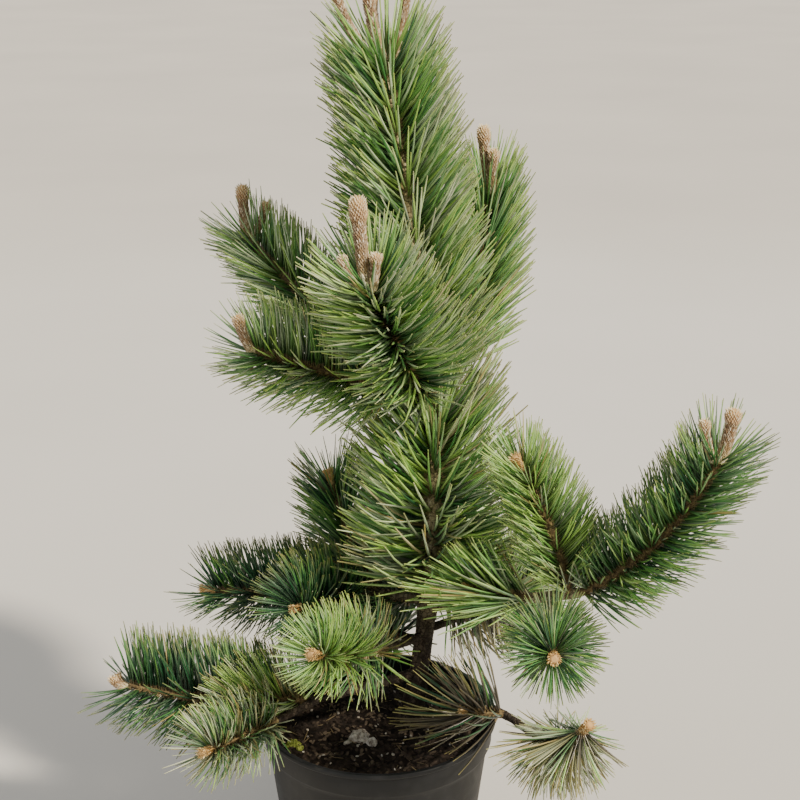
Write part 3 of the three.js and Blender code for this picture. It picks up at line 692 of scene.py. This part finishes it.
def needle_points(index, name, seed):
    """The needles of one mass: root, aim, bow, size, tone and shade of each, in millimetres."""
    mass = masses[name]
    random = np.random.default_rng(seed)
    distance = np.arange(mass["low_end"] + FIRST_NEEDLE, mass["high_end"], mass["step"])
    count = len(distance)
    share = (distance - mass["low_end"]) / (mass["high_end"] - mass["low_end"])
    turn = np.arange(count) * GOLDEN_ANGLE + random.normal(0, TURN_NOISE, count)
    along, outward = mass["line"].around(distance, turn)
    opening = np.interp(share ** 1.5, [0, 1], mass["opening"])
    opening = opening + random.uniform(-1, 1, count) * mass["jitter"]
    opening = np.radians(opening * np.interp(share, [0, 0.94, 1], [1, 1, 0.8]))
    aim = unit(along * np.cos(opening)[:, None] + outward * np.sin(opening)[:, None] + UP * mass["lift"])
    size = np.interp(share ** 3, [0, 1], mass["needles"]) * random.uniform(*SIZE_RANGE, count)
    root = mass["line"].at(distance) + outward * mass["radius"](distance)[:, None] * ROOT_SHARE
    apart = unit(np.cross(aim, outward + 0.3 * random.normal(size=(count, 3))))
    splay = math.tan(math.radians(SPLAY / 2))
    bow_way = along * 0.7 + UP * 0.7 - outward * 0.25
    roots, aims, bows, sizes = [], [], [], []
    for sign in (-1, 1):
        roots.append(root + apart * sign * HALF_GAP)
        aims.append(unit(aim + apart * sign * splay * random.uniform(*SPLAY_RANGE, (count, 1))))
        bows.append((bow_way + apart * sign * 0.35) * mass["bow"] * random.uniform(*BOW_RANGE, (count, 1)))
        sizes.append(size * random.uniform(*TWIN_RANGE, count))
    root, aim, bow, size = (np.concatenate(parts) for parts in (roots, aims, bows, sizes))
    worn = random.uniform(0, 1, count) < mass["worn"] * (1 - share) ** 2
    tone = np.tile(np.where(worn, tones("old", count, random), tones(mass["mix"], count, random)), 2)
    # Painted highlight: a random amount for each needle, less on shaded sprays.
    shade = random.uniform(0, 1, len(root)) ** 2.5 * MOST_GLINT * GLINT_BY_MIX.get(mass["mix"], 1)
    in_front = np.clip((outward @ TO_VIEWER - 0.55) / 0.3, 0, 1)
    parted = random.uniform(0, 1, count) < mass["parting"] * in_front
    fallen = worn & (random.uniform(0, 1, count) < FALLEN)
    allowed = np.zeros(len(root))
    kept = np.ones(len(root), bool)
    for part in SHARES:
        places = root + (aim * part + bow / size[:, None] * part ** 2) * size[:, None]
        kept &= in_space(index, places)
        allowed[kept] = part
    use = (allowed >= SHORTEST) & ~np.tile(parted | fallen, 2)
    fields = dict(root=root, aim=aim, bow=bow, size=size * allowed, tone=tone, shade=shade)
    return {key: value[use] for key, value in fields.items()}


needles = {name: needle_points(i, name, NEEDLE_SEED + i) for i, name in enumerate(masses)}
print(sum(len(facts["root"]) for facts in needles.values()), "needles")

# %% [markdown]
# Two Geometry Nodes trees make nearly everything on the plant. The first stands a tapered blade on every
# point: a needle or a candle's scale, by its sizes. The second clothes lines with a skin that has relief:
# trunk, boughs, twigs and candle cores. Both read what the points know, such as aim and size, from named
# attributes.

# %% The tree of blades
NAMED = "GeometryNodeInputNamedAttribute"
NUMBER = dict(data_type="FLOAT", out="Attribute")
VECTOR = dict(data_type="FLOAT_VECTOR", out="Attribute")


def node_tree(name, **sockets):
    """A Geometry Nodes tree with a geometry in and out and named inputs."""
    tree = bpy.data.node_groups.new(name, "GeometryNodeTree")
    tree.interface.new_socket("Geometry", in_out="INPUT", socket_type="NodeSocketGeometry")
    tree.interface.new_socket("Geometry", in_out="OUTPUT", socket_type="NodeSocketGeometry")
    for label, kind in sockets.items():
        tree.interface.new_socket(label, in_out="INPUT", socket_type=f"NodeSocket{kind}")
    return tree, tree.nodes.new("NodeGroupInput").outputs, tree.nodes.new("NodeGroupOutput").inputs


def skinned(tree, geometry, given, result):
    """Ends a tree: its geometry takes the skin that was given."""
    done = add(tree, "GeometryNodeSetMaterial", {"Geometry": geometry, "Material": given["Skin"]})
    tree.links.new(done, result["Geometry"])
    return tree


def dealt_out(tree, geometry, sockets, names):
    """Gives each tone its own material."""
    tone = add(tree, NAMED, {"Name": "tone"}, **NUMBER)
    for i, name in enumerate(names):
        mine = add(tree, MATH, tone, i, 0.4, operation="COMPARE")
        inputs = {"Geometry": geometry, "Selection": mine, "Material": sockets[name]}
        geometry = add(tree, "GeometryNodeSetMaterial", inputs)
    return geometry


def swept(tree, curve, sides, radius, thickness):
    """A tube with closed ends along a curve, its radius times the thickness at each point."""
    profile = add(tree, "GeometryNodeCurvePrimitiveCircle", {"Resolution": sides, "Radius": radius})
    inputs = {"Curve": curve, "Profile Curve": profile, "Scale": thickness, "Fill Caps": True}
    return add(tree, "GeometryNodeCurveToMesh", inputs)


def stood(tree, points, thing, **inputs):
    """Stands a thing on each point and makes every one of them real."""
    inputs = {"Points": points, "Instance": thing, **inputs}
    return add(tree, "GeometryNodeRealizeInstances", add(tree, "GeometryNodeInstanceOnPoints", inputs))


def blade(tree, given):
    """One upright blade of three sides that narrows to its tip."""
    end = add(tree, "ShaderNodeCombineXYZ", {"Z": given["Length"]})
    line = add(tree, "GeometryNodeCurvePrimitiveLine", {"End": end})
    line = add(tree, "GeometryNodeResampleCurve", {"Curve": line, "Count": given["Rings"]})
    factor = add(tree, "GeometryNodeSplineParameter", out="Factor")
    stored = {"Geometry": line, "Name": "along", "Value": factor}
    line = add(tree, "GeometryNodeStoreNamedAttribute", stored, data_type="FLOAT")
    loss = add(tree, MATH, 1, given["Tip"], operation="SUBTRACT")
    late = add(tree, MATH, factor, given["Fullness"], operation="POWER")
    lost = add(tree, MATH, loss, late, operation="MULTIPLY")
    taper = add(tree, MATH, 1, lost, operation="SUBTRACT")
    thickness = add(tree, MATH, taper, given["Width"], operation="MULTIPLY")
    return swept(tree, line, 3, 0.5, thickness)


def blade_tree(name, materials):
    """Stands a blade on each point, turned to its aim, bent by its bow and in the material of its tone."""
    sizes = dict(Length="Float", Width="Float", Rings="Int", Tip="Float", Fullness="Float")
    tree, given, result = node_tree(name, **sizes, **dict.fromkeys(materials, "Material"))
    aim = add(tree, NAMED, {"Name": "aim"}, **VECTOR)
    size = add(tree, NAMED, {"Name": "size"}, **NUMBER)
    turned = add(tree, "FunctionNodeAlignRotationToVector", {"Vector": aim}, axis="Z")
    real = stood(tree, given["Geometry"], blade(tree, given), Rotation=turned, Scale=size)
    along = add(tree, NAMED, {"Name": "along"}, **NUMBER)
    bow = add(tree, NAMED, {"Name": "bow"}, **VECTOR)
    bend = add(tree, MATH, along, 2, operation="POWER")
    offset = add(tree, "ShaderNodeVectorMath", {0: bow, "Scale": bend}, operation="SCALE")
    bent = add(tree, "GeometryNodeSetPosition", {"Geometry": real, "Offset": offset})
    tree.links.new(dealt_out(tree, bent, given, materials), result["Geometry"])
    return tree


# %% The tree of skins
def noisy_height(tree, size, relief, detail, level):
    """Noise with features of a size, less its level, times a relief."""
    frequency = add(tree, MATH, 1, size, operation="DIVIDE")
    inputs = {"Vector": add(tree, "GeometryNodeInputPosition"), "Scale": frequency, "Detail": detail}
    noise = add(tree, "ShaderNodeTexNoise", inputs, out="Fac")
    return add(tree, MATH, add(tree, MATH, noise, level, operation="SUBTRACT"), relief, operation="MULTIPLY")


def roughened(tree, geometry, given, detail):
    """Pushes a surface in and out by noise of the given grain, by up to half the given relief."""
    height = noisy_height(tree, given["Grain"], given["Relief"], detail, 0.5)
    normal = add(tree, "GeometryNodeInputNormal")
    offset = add(tree, "ShaderNodeVectorMath", {0: normal, "Scale": height}, operation="SCALE")
    return add(tree, "GeometryNodeSetPosition", {"Geometry": geometry, "Offset": offset})


def skin_tree():
    """Clothes lines with a tube of their thickness, with relief across its skin."""
    sockets = dict(Sides="Int", Relief="Float", Grain="Float", Skin="Material")
    tree, given, result = node_tree("Skin on lines", **sockets)
    curve = add(tree, "GeometryNodeMeshToCurve", {"Mesh": given["Geometry"]})
    tube = swept(tree, curve, given["Sides"], 1, add(tree, NAMED, {"Name": "thickness"}, **NUMBER))
    real = add(tree, "GeometryNodeRealizeInstances", roughened(tree, tube, given, 3))
    smooth = add(tree, "GeometryNodeSetShadeSmooth", {"Geometry": real})
    return skinned(tree, smooth, given, result)


blades = blade_tree("Blades on points", TONE_NAMES)
skins = skin_tree()
print("two trees of nodes")

# %% [markdown]
# A mesh of loose points or of lines carries the facts that a tree reads, each as a named attribute. The
# tree runs once, and its result is kept as a plain mesh, so that nothing is left to work out later. Then
# the piece is told what it rides on, and the solids it stands for are hidden.

# %% From points to a finished piece
def carrier(name, places, edges=(), **facts):
    """A mesh of points in metres, with an attribute for each fact."""
    mesh = bpy.data.meshes.new(name)
    mesh.from_pydata((places * MM).tolist(), list(edges), [])
    for label, values in facts.items():
        values = np.asarray(values, np.float32)
        kind, key = ("FLOAT_VECTOR", "vector") if values.ndim == 2 else ("FLOAT", "value")
        mesh.attributes.new(label, kind, "POINT").data.foreach_set(key, values.ravel())
    return mesh


def points_carrier(name, groups, blade_length=1):
    """Joins groups of points. Each size becomes a share of the length of the blade that will stand there."""
    facts = {key: np.concatenate([group[key] for group in groups]) for key in groups[0]}
    facts["bow"] = facts["bow"] * MM
    facts["size"] = facts["size"] / blade_length
    return carrier(name, facts.pop("root"), **facts)


def grown(name, mesh, tree, **inputs):
    """Runs a tree on a mesh and keeps the result as a plain mesh."""
    piece = bpy.data.objects.new(name, mesh)
    scene.collection.objects.link(piece)
    modifier = piece.modifiers.new(tree.name, "NODES")
    modifier.node_group = tree
    for item in tree.interface.items_tree:
        if item.in_out == "INPUT" and item.name in inputs:
            modifier[item.identifier] = inputs[item.name]
    bpy.context.view_layer.update()
    depsgraph = bpy.context.evaluated_depsgraph_get()
    made = bpy.data.meshes.new_from_object(piece.evaluated_get(depsgraph))
    piece.modifiers.clear()
    piece.data = made
    made.name = name
    return piece


def handed_over(piece, slot, *nodes):
    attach(piece, "root")
    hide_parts(*nodes)
    triangles = sum(len(face.vertices) - 2 for face in piece.data.polygons)
    print(piece.name, triangles, "triangles")


# %% Needles, in sprays that lie together
SPRAYS = {
    "leader": ["leader"],
    "upper_front": ["upper_front", "upper_left"],
    "upper_back": ["upper_left_back", "upper_right_back", "upper_back"],
    "trunk": ["column", "left_butt"],
    "right": ["right_tip", "right_inner", "right_front", "right_low", "right_butt"],
    "left": ["left_long", "left_fan", "left_upper", "front_left"],
    "low_left": ["low_left_long", "low_left_front", "low_left_mid"],
    "low_right": ["low_right_tip", "low_right_inner"],
    "back": ["back", "back_right", "back_left"],
}
NEEDLE_LENGTH, NEEDLE_WIDTH = 60, 1.9

for spray, names in SPRAYS.items():
    mesh = points_carrier(f"points_{spray}", [needles[name] for name in names], NEEDLE_LENGTH)
    piece = grown(
        f"needles_{spray}", mesh, blades, Length=NEEDLE_LENGTH * MM, Width=NEEDLE_WIDTH * MM, Rings=5,
        Tip=0.42, Fullness=5.0, **needle_materials,
    )
    handed_over(piece, "needles", *[f"{name}_needles" for name in names])

# %% [markdown]
# Trunk, boughs and twigs are clothed lines. The rings of a skin lie about 1.5 millimetres apart, close
# enough for relief that breaks the outline, and the material's bump does the rest. Twigs are the stems
# inside the needles.

# %% Trunk, boughs and twigs
RING_STEP, TWIG_STEP = 1.5, 1.6


def clothed(name, runs, skin, sides, relief, grain_size):
    """Clothes lines with one skin. A run is (line, low end, high end, radius, step between rings)."""
    places, edges, facts = [], [], dict(thickness=[], share=[])
    for line, low, high, radius, step in runs:
        count = max(3, int((high - low) / step))
        distances = np.linspace(low, high, count)
        first = sum(map(len, places))
        places.append(line.at(distances))
        facts["thickness"].append(radius(distances) * MM)
        facts["share"].append(np.linspace(0, 1, count))
        edges += [(first + i, first + i + 1) for i in range(count - 1)]
    facts = {key: np.concatenate(values) for key, values in facts.items()}
    mesh = carrier(f"lines_{name}", np.concatenate(places), edges, **facts)
    return grown(name, mesh, skins, Sides=sides, Relief=relief * MM, Grain=grain_size * MM, Skin=skin)


trunk_run = (trunk_line, 0, trunk_line.length, trunk_radius, RING_STEP)
handed_over(clothed("trunk_bark", [trunk_run], bark, 28, 2.4, 6), "bark", "trunk")

boughs = {name: limb for name, limb in limbs.items() if name != "trunk"}
bough_runs = [(limb["line"], 0, limb["reach"], limb["radius"], RING_STEP) for limb in boughs.values()]
handed_over(clothed("bough_bark", bough_runs, bark, 18, 1.6, 5), "bark", *boughs)

stems = {f"{name}_needles": masses[name] for name in SHOOTS}
twig_runs = []
for stem in stems.values():
    twig_runs.append((stem["line"], stem["low_end"], stem["high_end"], stem["radius"], TWIG_STEP))
handed_over(clothed("twigs", twig_runs, twig, 10, 1.4, 2.5), "bark", *stems)

# %% [markdown]
# A candle is a core with papery scales on a spiral. The scales stand off it a little at their points. They
# are paler towards the head, and the head is thicker, because the needles inside push there first. A bud
# is made the same way, and its scales take the second tone.

# %% Candles and buds
SCALE_STEP, SCALE_LENGTH, SCALE_WIDTH = 0.13, 4.0, 2.2
SCALE_SEED = 501
CORE_SHARE = 0.86


def core_radius(tip):
    """Gives the radius of a candle's or bud's core by distance from its foot."""
    length, radius = tip["line"].length, tip["radius"]
    bulk = [0, 0.2, 0.7, 0.79, 0.93, 1], [0.66, 0.68, 0.7, 1.0, 0.98, 0.45]
    return lambda distance: radius * CORE_SHARE * np.interp(distance / length, *bulk)


def scale_points(tip, seed):
    """The scales of one candle or bud. Each also says what share of the way up it stands."""
    random = np.random.default_rng(seed)
    line = tip["line"]
    distance = np.arange(0.5, line.length - 0.3, SCALE_STEP)
    count = len(distance)
    share = distance / line.length
    along, outward = line.around(distance, np.arange(count) * GOLDEN_ANGLE)
    lift = 0.2 + 0.25 * share[:, None] + random.uniform(0, 0.18, (count, 1))
    return dict(
        root=line.at(distance) + outward * core_radius(tip)(distance)[:, None],
        aim=unit(along + outward * lift),
        bow=outward * random.uniform(-0.2, 0.7, (count, 1)),
        size=random.uniform(0.65, 1.05, count) * np.interp(share, [0, 0.8, 1], [1, 0.9, 0.7]),
        tone=np.full(count, float(tip["bud"])),
        shade=random.uniform(0, 1, count) ** 3 * 0.8,
        share=share,
    )


all_tips = [tip for mass in masses.values() for tip in mass["tips"]]
tipped_nodes = [f"{name}_needles" for name, mass in masses.items() if mass["tips"]]
core_runs = [(tip["line"], 0, tip["line"].length, core_radius(tip), RING_STEP) for tip in all_tips]
handed_over(clothed("candle_cores", core_runs, candle_core, 12, 0.6, 2), "needles", *tipped_nodes)

mesh = points_carrier("points_scales", [scale_points(tip, SCALE_SEED + i) for i, tip in enumerate(all_tips)])
scales = blade_tree("Scales on points", ["scale", "bud_scale"])
piece = grown(
    "candle_scales", mesh, scales, Length=SCALE_LENGTH * MM, Width=SCALE_WIDTH * MM, Rings=3, Tip=0.05,
    Fullness=2.0, scale=candle_scale, bud_scale=bud_scale,
)
handed_over(piece, "needles", *tipped_nodes)

# %% [markdown]
# The pot is moulded in black plastic: a tapered tub with a stacking band below its rolled lip and drain
# holes round the edge of its floor. The profile is the solid's own, turned in many more steps and with a
# rounded lip, and the holes are cut by a boolean. Plastic of this kind is nearly black and dull, with a
# faint grain and dust on it.

# %% Pot
plastic, tree, shader = material("moulded_plastic", 0.5, 0.25)
dust = grain(tree, 14, detail=6)
colour = add(tree, RAMP, dust, stops=[(0.42, "#131517"), (0.66, "#1f2022"), (0.85, "#423f3a")])
surfaced(tree, shader, colour, grain(tree, 0.6, detail=2), 0.05)
duller = add(tree, MATH, dust, 0.35, operation="MULTIPLY")
tree.links.new(add(tree, MATH, 0.34, duller, operation="ADD"), shader.inputs["Roughness"])

POT_PROFILE = [
    (0, 0), (84, 0), (84.7, 0.3), (85, 1), (104.2, 158), (105.2, 161.8), (107.6, 164.6), (108.4, 166.4),
    (109, 184.8), (111.6, 185.6), (112.4, 186.6), (112.5, 188), (112.1, 189.3), (111.2, 190), (108, 190),
    (107, 189.3), (106.4, 188), (106.1, 166), (103.1, 163), (82.8, 4), (81.5, 3), (0, 3),
]
POT_STEPS = 160
DRAINS = dict(Holes=8, Drill=6 * MM, Ring=70 * MM)
SHARP_EDGE = 35
WELD = 1e-6


def lathed(name, profile, steps):
    """Turns a profile of (radius, height) in millimetres about the upright axis."""
    angles = np.arange(steps) * 2 * math.pi / steps
    rows = []
    for radius, height in profile:
        ring = [radius * np.cos(angles), radius * np.sin(angles), np.full(steps, height)]
        rows.append(np.stack(ring, axis=1))
    faces = []
    for row in range(len(profile) - 1):
        for i in range(steps):
            low, high, ahead = row * steps, (row + 1) * steps, (i + 1) % steps
            faces.append((low + i, low + ahead, high + ahead, high + i))
    mesh = bpy.data.meshes.new(name)
    mesh.from_pydata((np.concatenate(rows) * MM).tolist(), [], faces)
    return mesh


def hole_tree():
    """Merges the turned surface's poles and cuts a ring of holes through the floor."""
    sockets = dict(Holes="Int", Drill="Float", Ring="Float", Skin="Material")
    tree, given, result = node_tree("Ring of holes", **sockets)
    body = add(tree, "GeometryNodeMergeByDistance", {"Geometry": given["Geometry"], "Distance": WELD})
    ring = add(tree, "GeometryNodeMeshCircle", {"Vertices": given["Holes"], "Radius": given["Ring"]})
    sizes = {"Vertices": 32, "Radius": given["Drill"], "Depth": 0.02}
    drill = add(tree, "GeometryNodeMeshCylinder", sizes)
    drills = stood(tree, ring, drill)
    cut = add(tree, "GeometryNodeMeshBoolean", {"Mesh 1": body, "Mesh 2": drills}, solver="EXACT")
    return skinned(tree, cut, given, result)


tub = lathed("pot_shell", POT_PROFILE, POT_STEPS)
pot = grown("pot_shell", tub, hole_tree(), Skin=plastic, **DRAINS)
pot.data.shade_smooth()
pot.data.set_sharp_from_angle(angle=math.radians(SHARP_EDGE))
handed_over(pot, "pot", "pot")

# %% [markdown]
# Compost is bark, peat and grit: dark and crumbly, domed at the trunk and low at the wall. A fine disc is
# pushed up and down by noise, and chips, grit and bits of straw lie scattered on it. Geometry Nodes
# scatter the points on the upper side only, by a seeded rule, once for each kind of crumb.

# %% Compost
clods = (5, 8)
soil_stops = [(0.3, "#13100d"), (0.5, "#28211c"), (0.7, "#423831"), (0.9, "#857a6e")]
soil = grainy("damp_compost", 0.95, 0.2, clods, soil_stops, clods, 2.5)

SOIL_RINGS = 70
SOIL_STEPS = 180
COMPOST_TOP, COMPOST_DIP, COMPOST_RADIUS = 172, 5, 105.5
UPPER_HEIGHT, WALL_WIDTH = 165.5, 1.5
SOIL_LEVEL = 0.42


def soil_mesh():
    """The compost: a fine top that dips to the wall, and a plain side and underside."""
    radii = np.linspace(0, COMPOST_RADIUS, SOIL_RINGS)
    fall = np.interp(radii, [0, 62, 78, COMPOST_RADIUS], [0, 0, 1, COMPOST_DIP])
    top = list(zip(radii, COMPOST_TOP - fall))
    sides = [(102.4, 162.8), (82, 3.4), (0, 3.4)]
    return lathed("compost_bed", list(reversed(top + sides)), SOIL_STEPS)


def soil_tree():
    """Roughens the upper side, and leaves the edge at the wall as it is."""
    tree, given, result = node_tree("Crumbly top", Clod="Float", Relief="Float", Skin="Material")
    body = add(tree, "GeometryNodeMergeByDistance", {"Geometry": given["Geometry"], "Distance": WELD})
    parts = add(tree, "ShaderNodeSeparateXYZ", add(tree, "GeometryNodeInputPosition"), out=None)
    flat = add(tree, "ShaderNodeCombineXYZ", {"X": parts["X"], "Y": parts["Y"]})
    away = add(tree, "ShaderNodeVectorMath", {0: flat}, operation="LENGTH", out="Value")
    inner = add(tree, MATH, (COMPOST_RADIUS - WALL_WIDTH) * MM, away, operation="GREATER_THAN")
    high = add(tree, MATH, parts["Z"], UPPER_HEIGHT * MM, operation="GREATER_THAN")
    upper = add(tree, MATH, high, inner, operation="MULTIPLY")
    height = noisy_height(tree, given["Clod"], given["Relief"], 6, SOIL_LEVEL)
    offset = add(tree, "ShaderNodeCombineXYZ", {"Z": add(tree, MATH, height, upper, operation="MULTIPLY")})
    rough = add(tree, "GeometryNodeSetPosition", {"Geometry": body, "Offset": offset})
    return skinned(tree, rough, given, result)


bed = grown("compost_bed", soil_mesh(), soil_tree(), Clod=16 * MM, Relief=13 * MM, Skin=soil)
handed_over(bed, "compost", "compost")

# %% Crumbs on the compost
chip_stops = [(0.35, "#261f1b"), (0.5, "#42382f"), (0.65, "#756757")]
chip = grainy("bark_chip", 0.85, 0.25, (30, 1), chip_stops)
grit = grainy("pale_grit", 0.8, 0.3, (9, 4), [(0.35, "#a59c8e"), (0.65, "#ddd7cb")])

# Each kind has its crumbs to the square metre, smallest and largest size in metres, seed and material.
CRUMBS = {
    "bark_chips": (26000.0, (0.002, 0.0015, 0.001), (0.009, 0.005, 0.004), 3, chip),
    "grit": (2600.0, (0.0015, 0.0015, 0.0015), (0.005, 0.004, 0.003), 8, grit),
    "straw_bits": (1500.0, (0.008, 0.0005, 0.0005), (0.034, 0.0012, 0.0012), 13, needle_materials["straw"]),
}
CRUMB_SOCKETS = dict(Density="Float", Smallest="Vector", Largest="Vector", Seed="Int", Skin="Material")
MOST_TURN = (0.6, 0.6, 6.28)
STEEPEST, LOWEST = 0.3, 0.16


def crumb_tree():
    """Scatters crumbs on what faces up, each turned and sized at random."""
    tree, given, result = node_tree("Scattered crumbs", **CRUMB_SOCKETS)
    normal = add(tree, "ShaderNodeSeparateXYZ", add(tree, "GeometryNodeInputNormal"), out="Z")
    height = add(tree, "ShaderNodeSeparateXYZ", add(tree, "GeometryNodeInputPosition"), out="Z")
    facing = add(tree, MATH, normal, STEEPEST, operation="GREATER_THAN")
    high = add(tree, MATH, height, LOWEST, operation="GREATER_THAN")
    scattered = {
        "Mesh": given["Geometry"], "Selection": add(tree, MATH, facing, high, operation="MULTIPLY"),
        "Density": given["Density"], "Seed": given["Seed"],
    }
    spots = add(tree, "GeometryNodeDistributePointsOnFaces", scattered, out="Points")
    chance = dict(data_type="FLOAT_VECTOR")
    turn = add(tree, "FunctionNodeRandomValue", (0, 0, 0), MOST_TURN, {"Seed": given["Seed"]}, **chance)
    sizes = {0: given["Smallest"], 1: given["Largest"], "Seed": given["Seed"]}
    size = add(tree, "FunctionNodeRandomValue", sizes, **chance)
    crumb = add(tree, "GeometryNodeMeshIcoSphere", {"Radius": 0.5, "Subdivisions": 1})
    return skinned(tree, stood(tree, spots, crumb, Rotation=turn, Scale=size), given, result)


crumbs = crumb_tree()
for name, values in CRUMBS.items():
    inputs = dict(zip(CRUMB_SOCKETS, values))
    handed_over(grown(name, bed.data.copy(), crumbs, **inputs), "compost", "compost")

# %% [markdown]
# Three bigger things lie on the compost: a weathered stone at the left, a pale crumbly clump near the
# middle and a little moss at the wall. Each is one to three balls on points, given their sizes, pushed in
# and out by noise and half sunk.

# %% Stone, clump and moss
stone_stops = [(0.35, "#6f6e5d"), (0.5, "#9a9986"), (0.68, "#dcd8c6")]
stone = grainy("weathered_stone", 0.85, 0.3, (7, 6), stone_stops, (3, 6), 1.0)
clump_stops = [(0.36, "#8a7f73"), (0.5, "#cfc5b8"), (0.66, "#f6f0e6")]
clump = grainy("pale_clump", 0.95, 0.2, (4, 8), clump_stops, (2, 8), 2.0)
moss_stops = [(0.35, "#59622a"), (0.5, "#8c9a45"), (0.68, "#bcc46e")]
moss = grainy("green_moss", 0.95, 0.1, (2, 6), moss_stops, (1.2, 4), 1.5)

# Each lump has a material, a grain, a relief and its balls. A ball is its place and its size.
LUMPS = {
    "stone": (stone, 14, 9, [(-80, 38, 174, 24, 15, 15)]),
    "pale_clump": (
        clump, 7, 9, [(-17, -24, 174, 21, 17, 15), (-6, -30, 173, 11, 10, 9), (-27, -30, 172, 10, 9, 7)],
    ),
    "moss": (moss, 4, 5, [(-79, -32, 172, 15, 12, 7), (-73, -37, 172, 9, 8, 5)]),
}


def lump_tree():
    """A ball on each point, of the point's own size, with noise pushing its surface in and out."""
    tree, given, result = node_tree("Lumps on points", Grain="Float", Relief="Float", Skin="Material")
    ball = add(tree, "GeometryNodeMeshIcoSphere", {"Radius": 0.5, "Subdivisions": 5})
    turn = add(tree, NAMED, {"Name": "turn"}, **VECTOR)
    size = add(tree, NAMED, {"Name": "size"}, **VECTOR)
    balls = stood(tree, given["Geometry"], ball, Rotation=turn, Scale=size)
    return skinned(tree, roughened(tree, balls, given, 5), given, result)


lumps = lump_tree()
for name, (skin, grain_size, relief, balls) in LUMPS.items():
    balls = np.array(balls, float)
    turns = [(0.1, 0.2, 0.5 + 1.3 * i) for i in range(len(balls))]
    mesh = carrier(f"points_{name}", balls[:, :3], size=balls[:, 3:] * MM, turn=turns)
    piece = grown(name, mesh, lumps, Grain=grain_size * MM, Relief=relief * MM, Skin=skin)
    handed_over(piece, "compost", "compost")
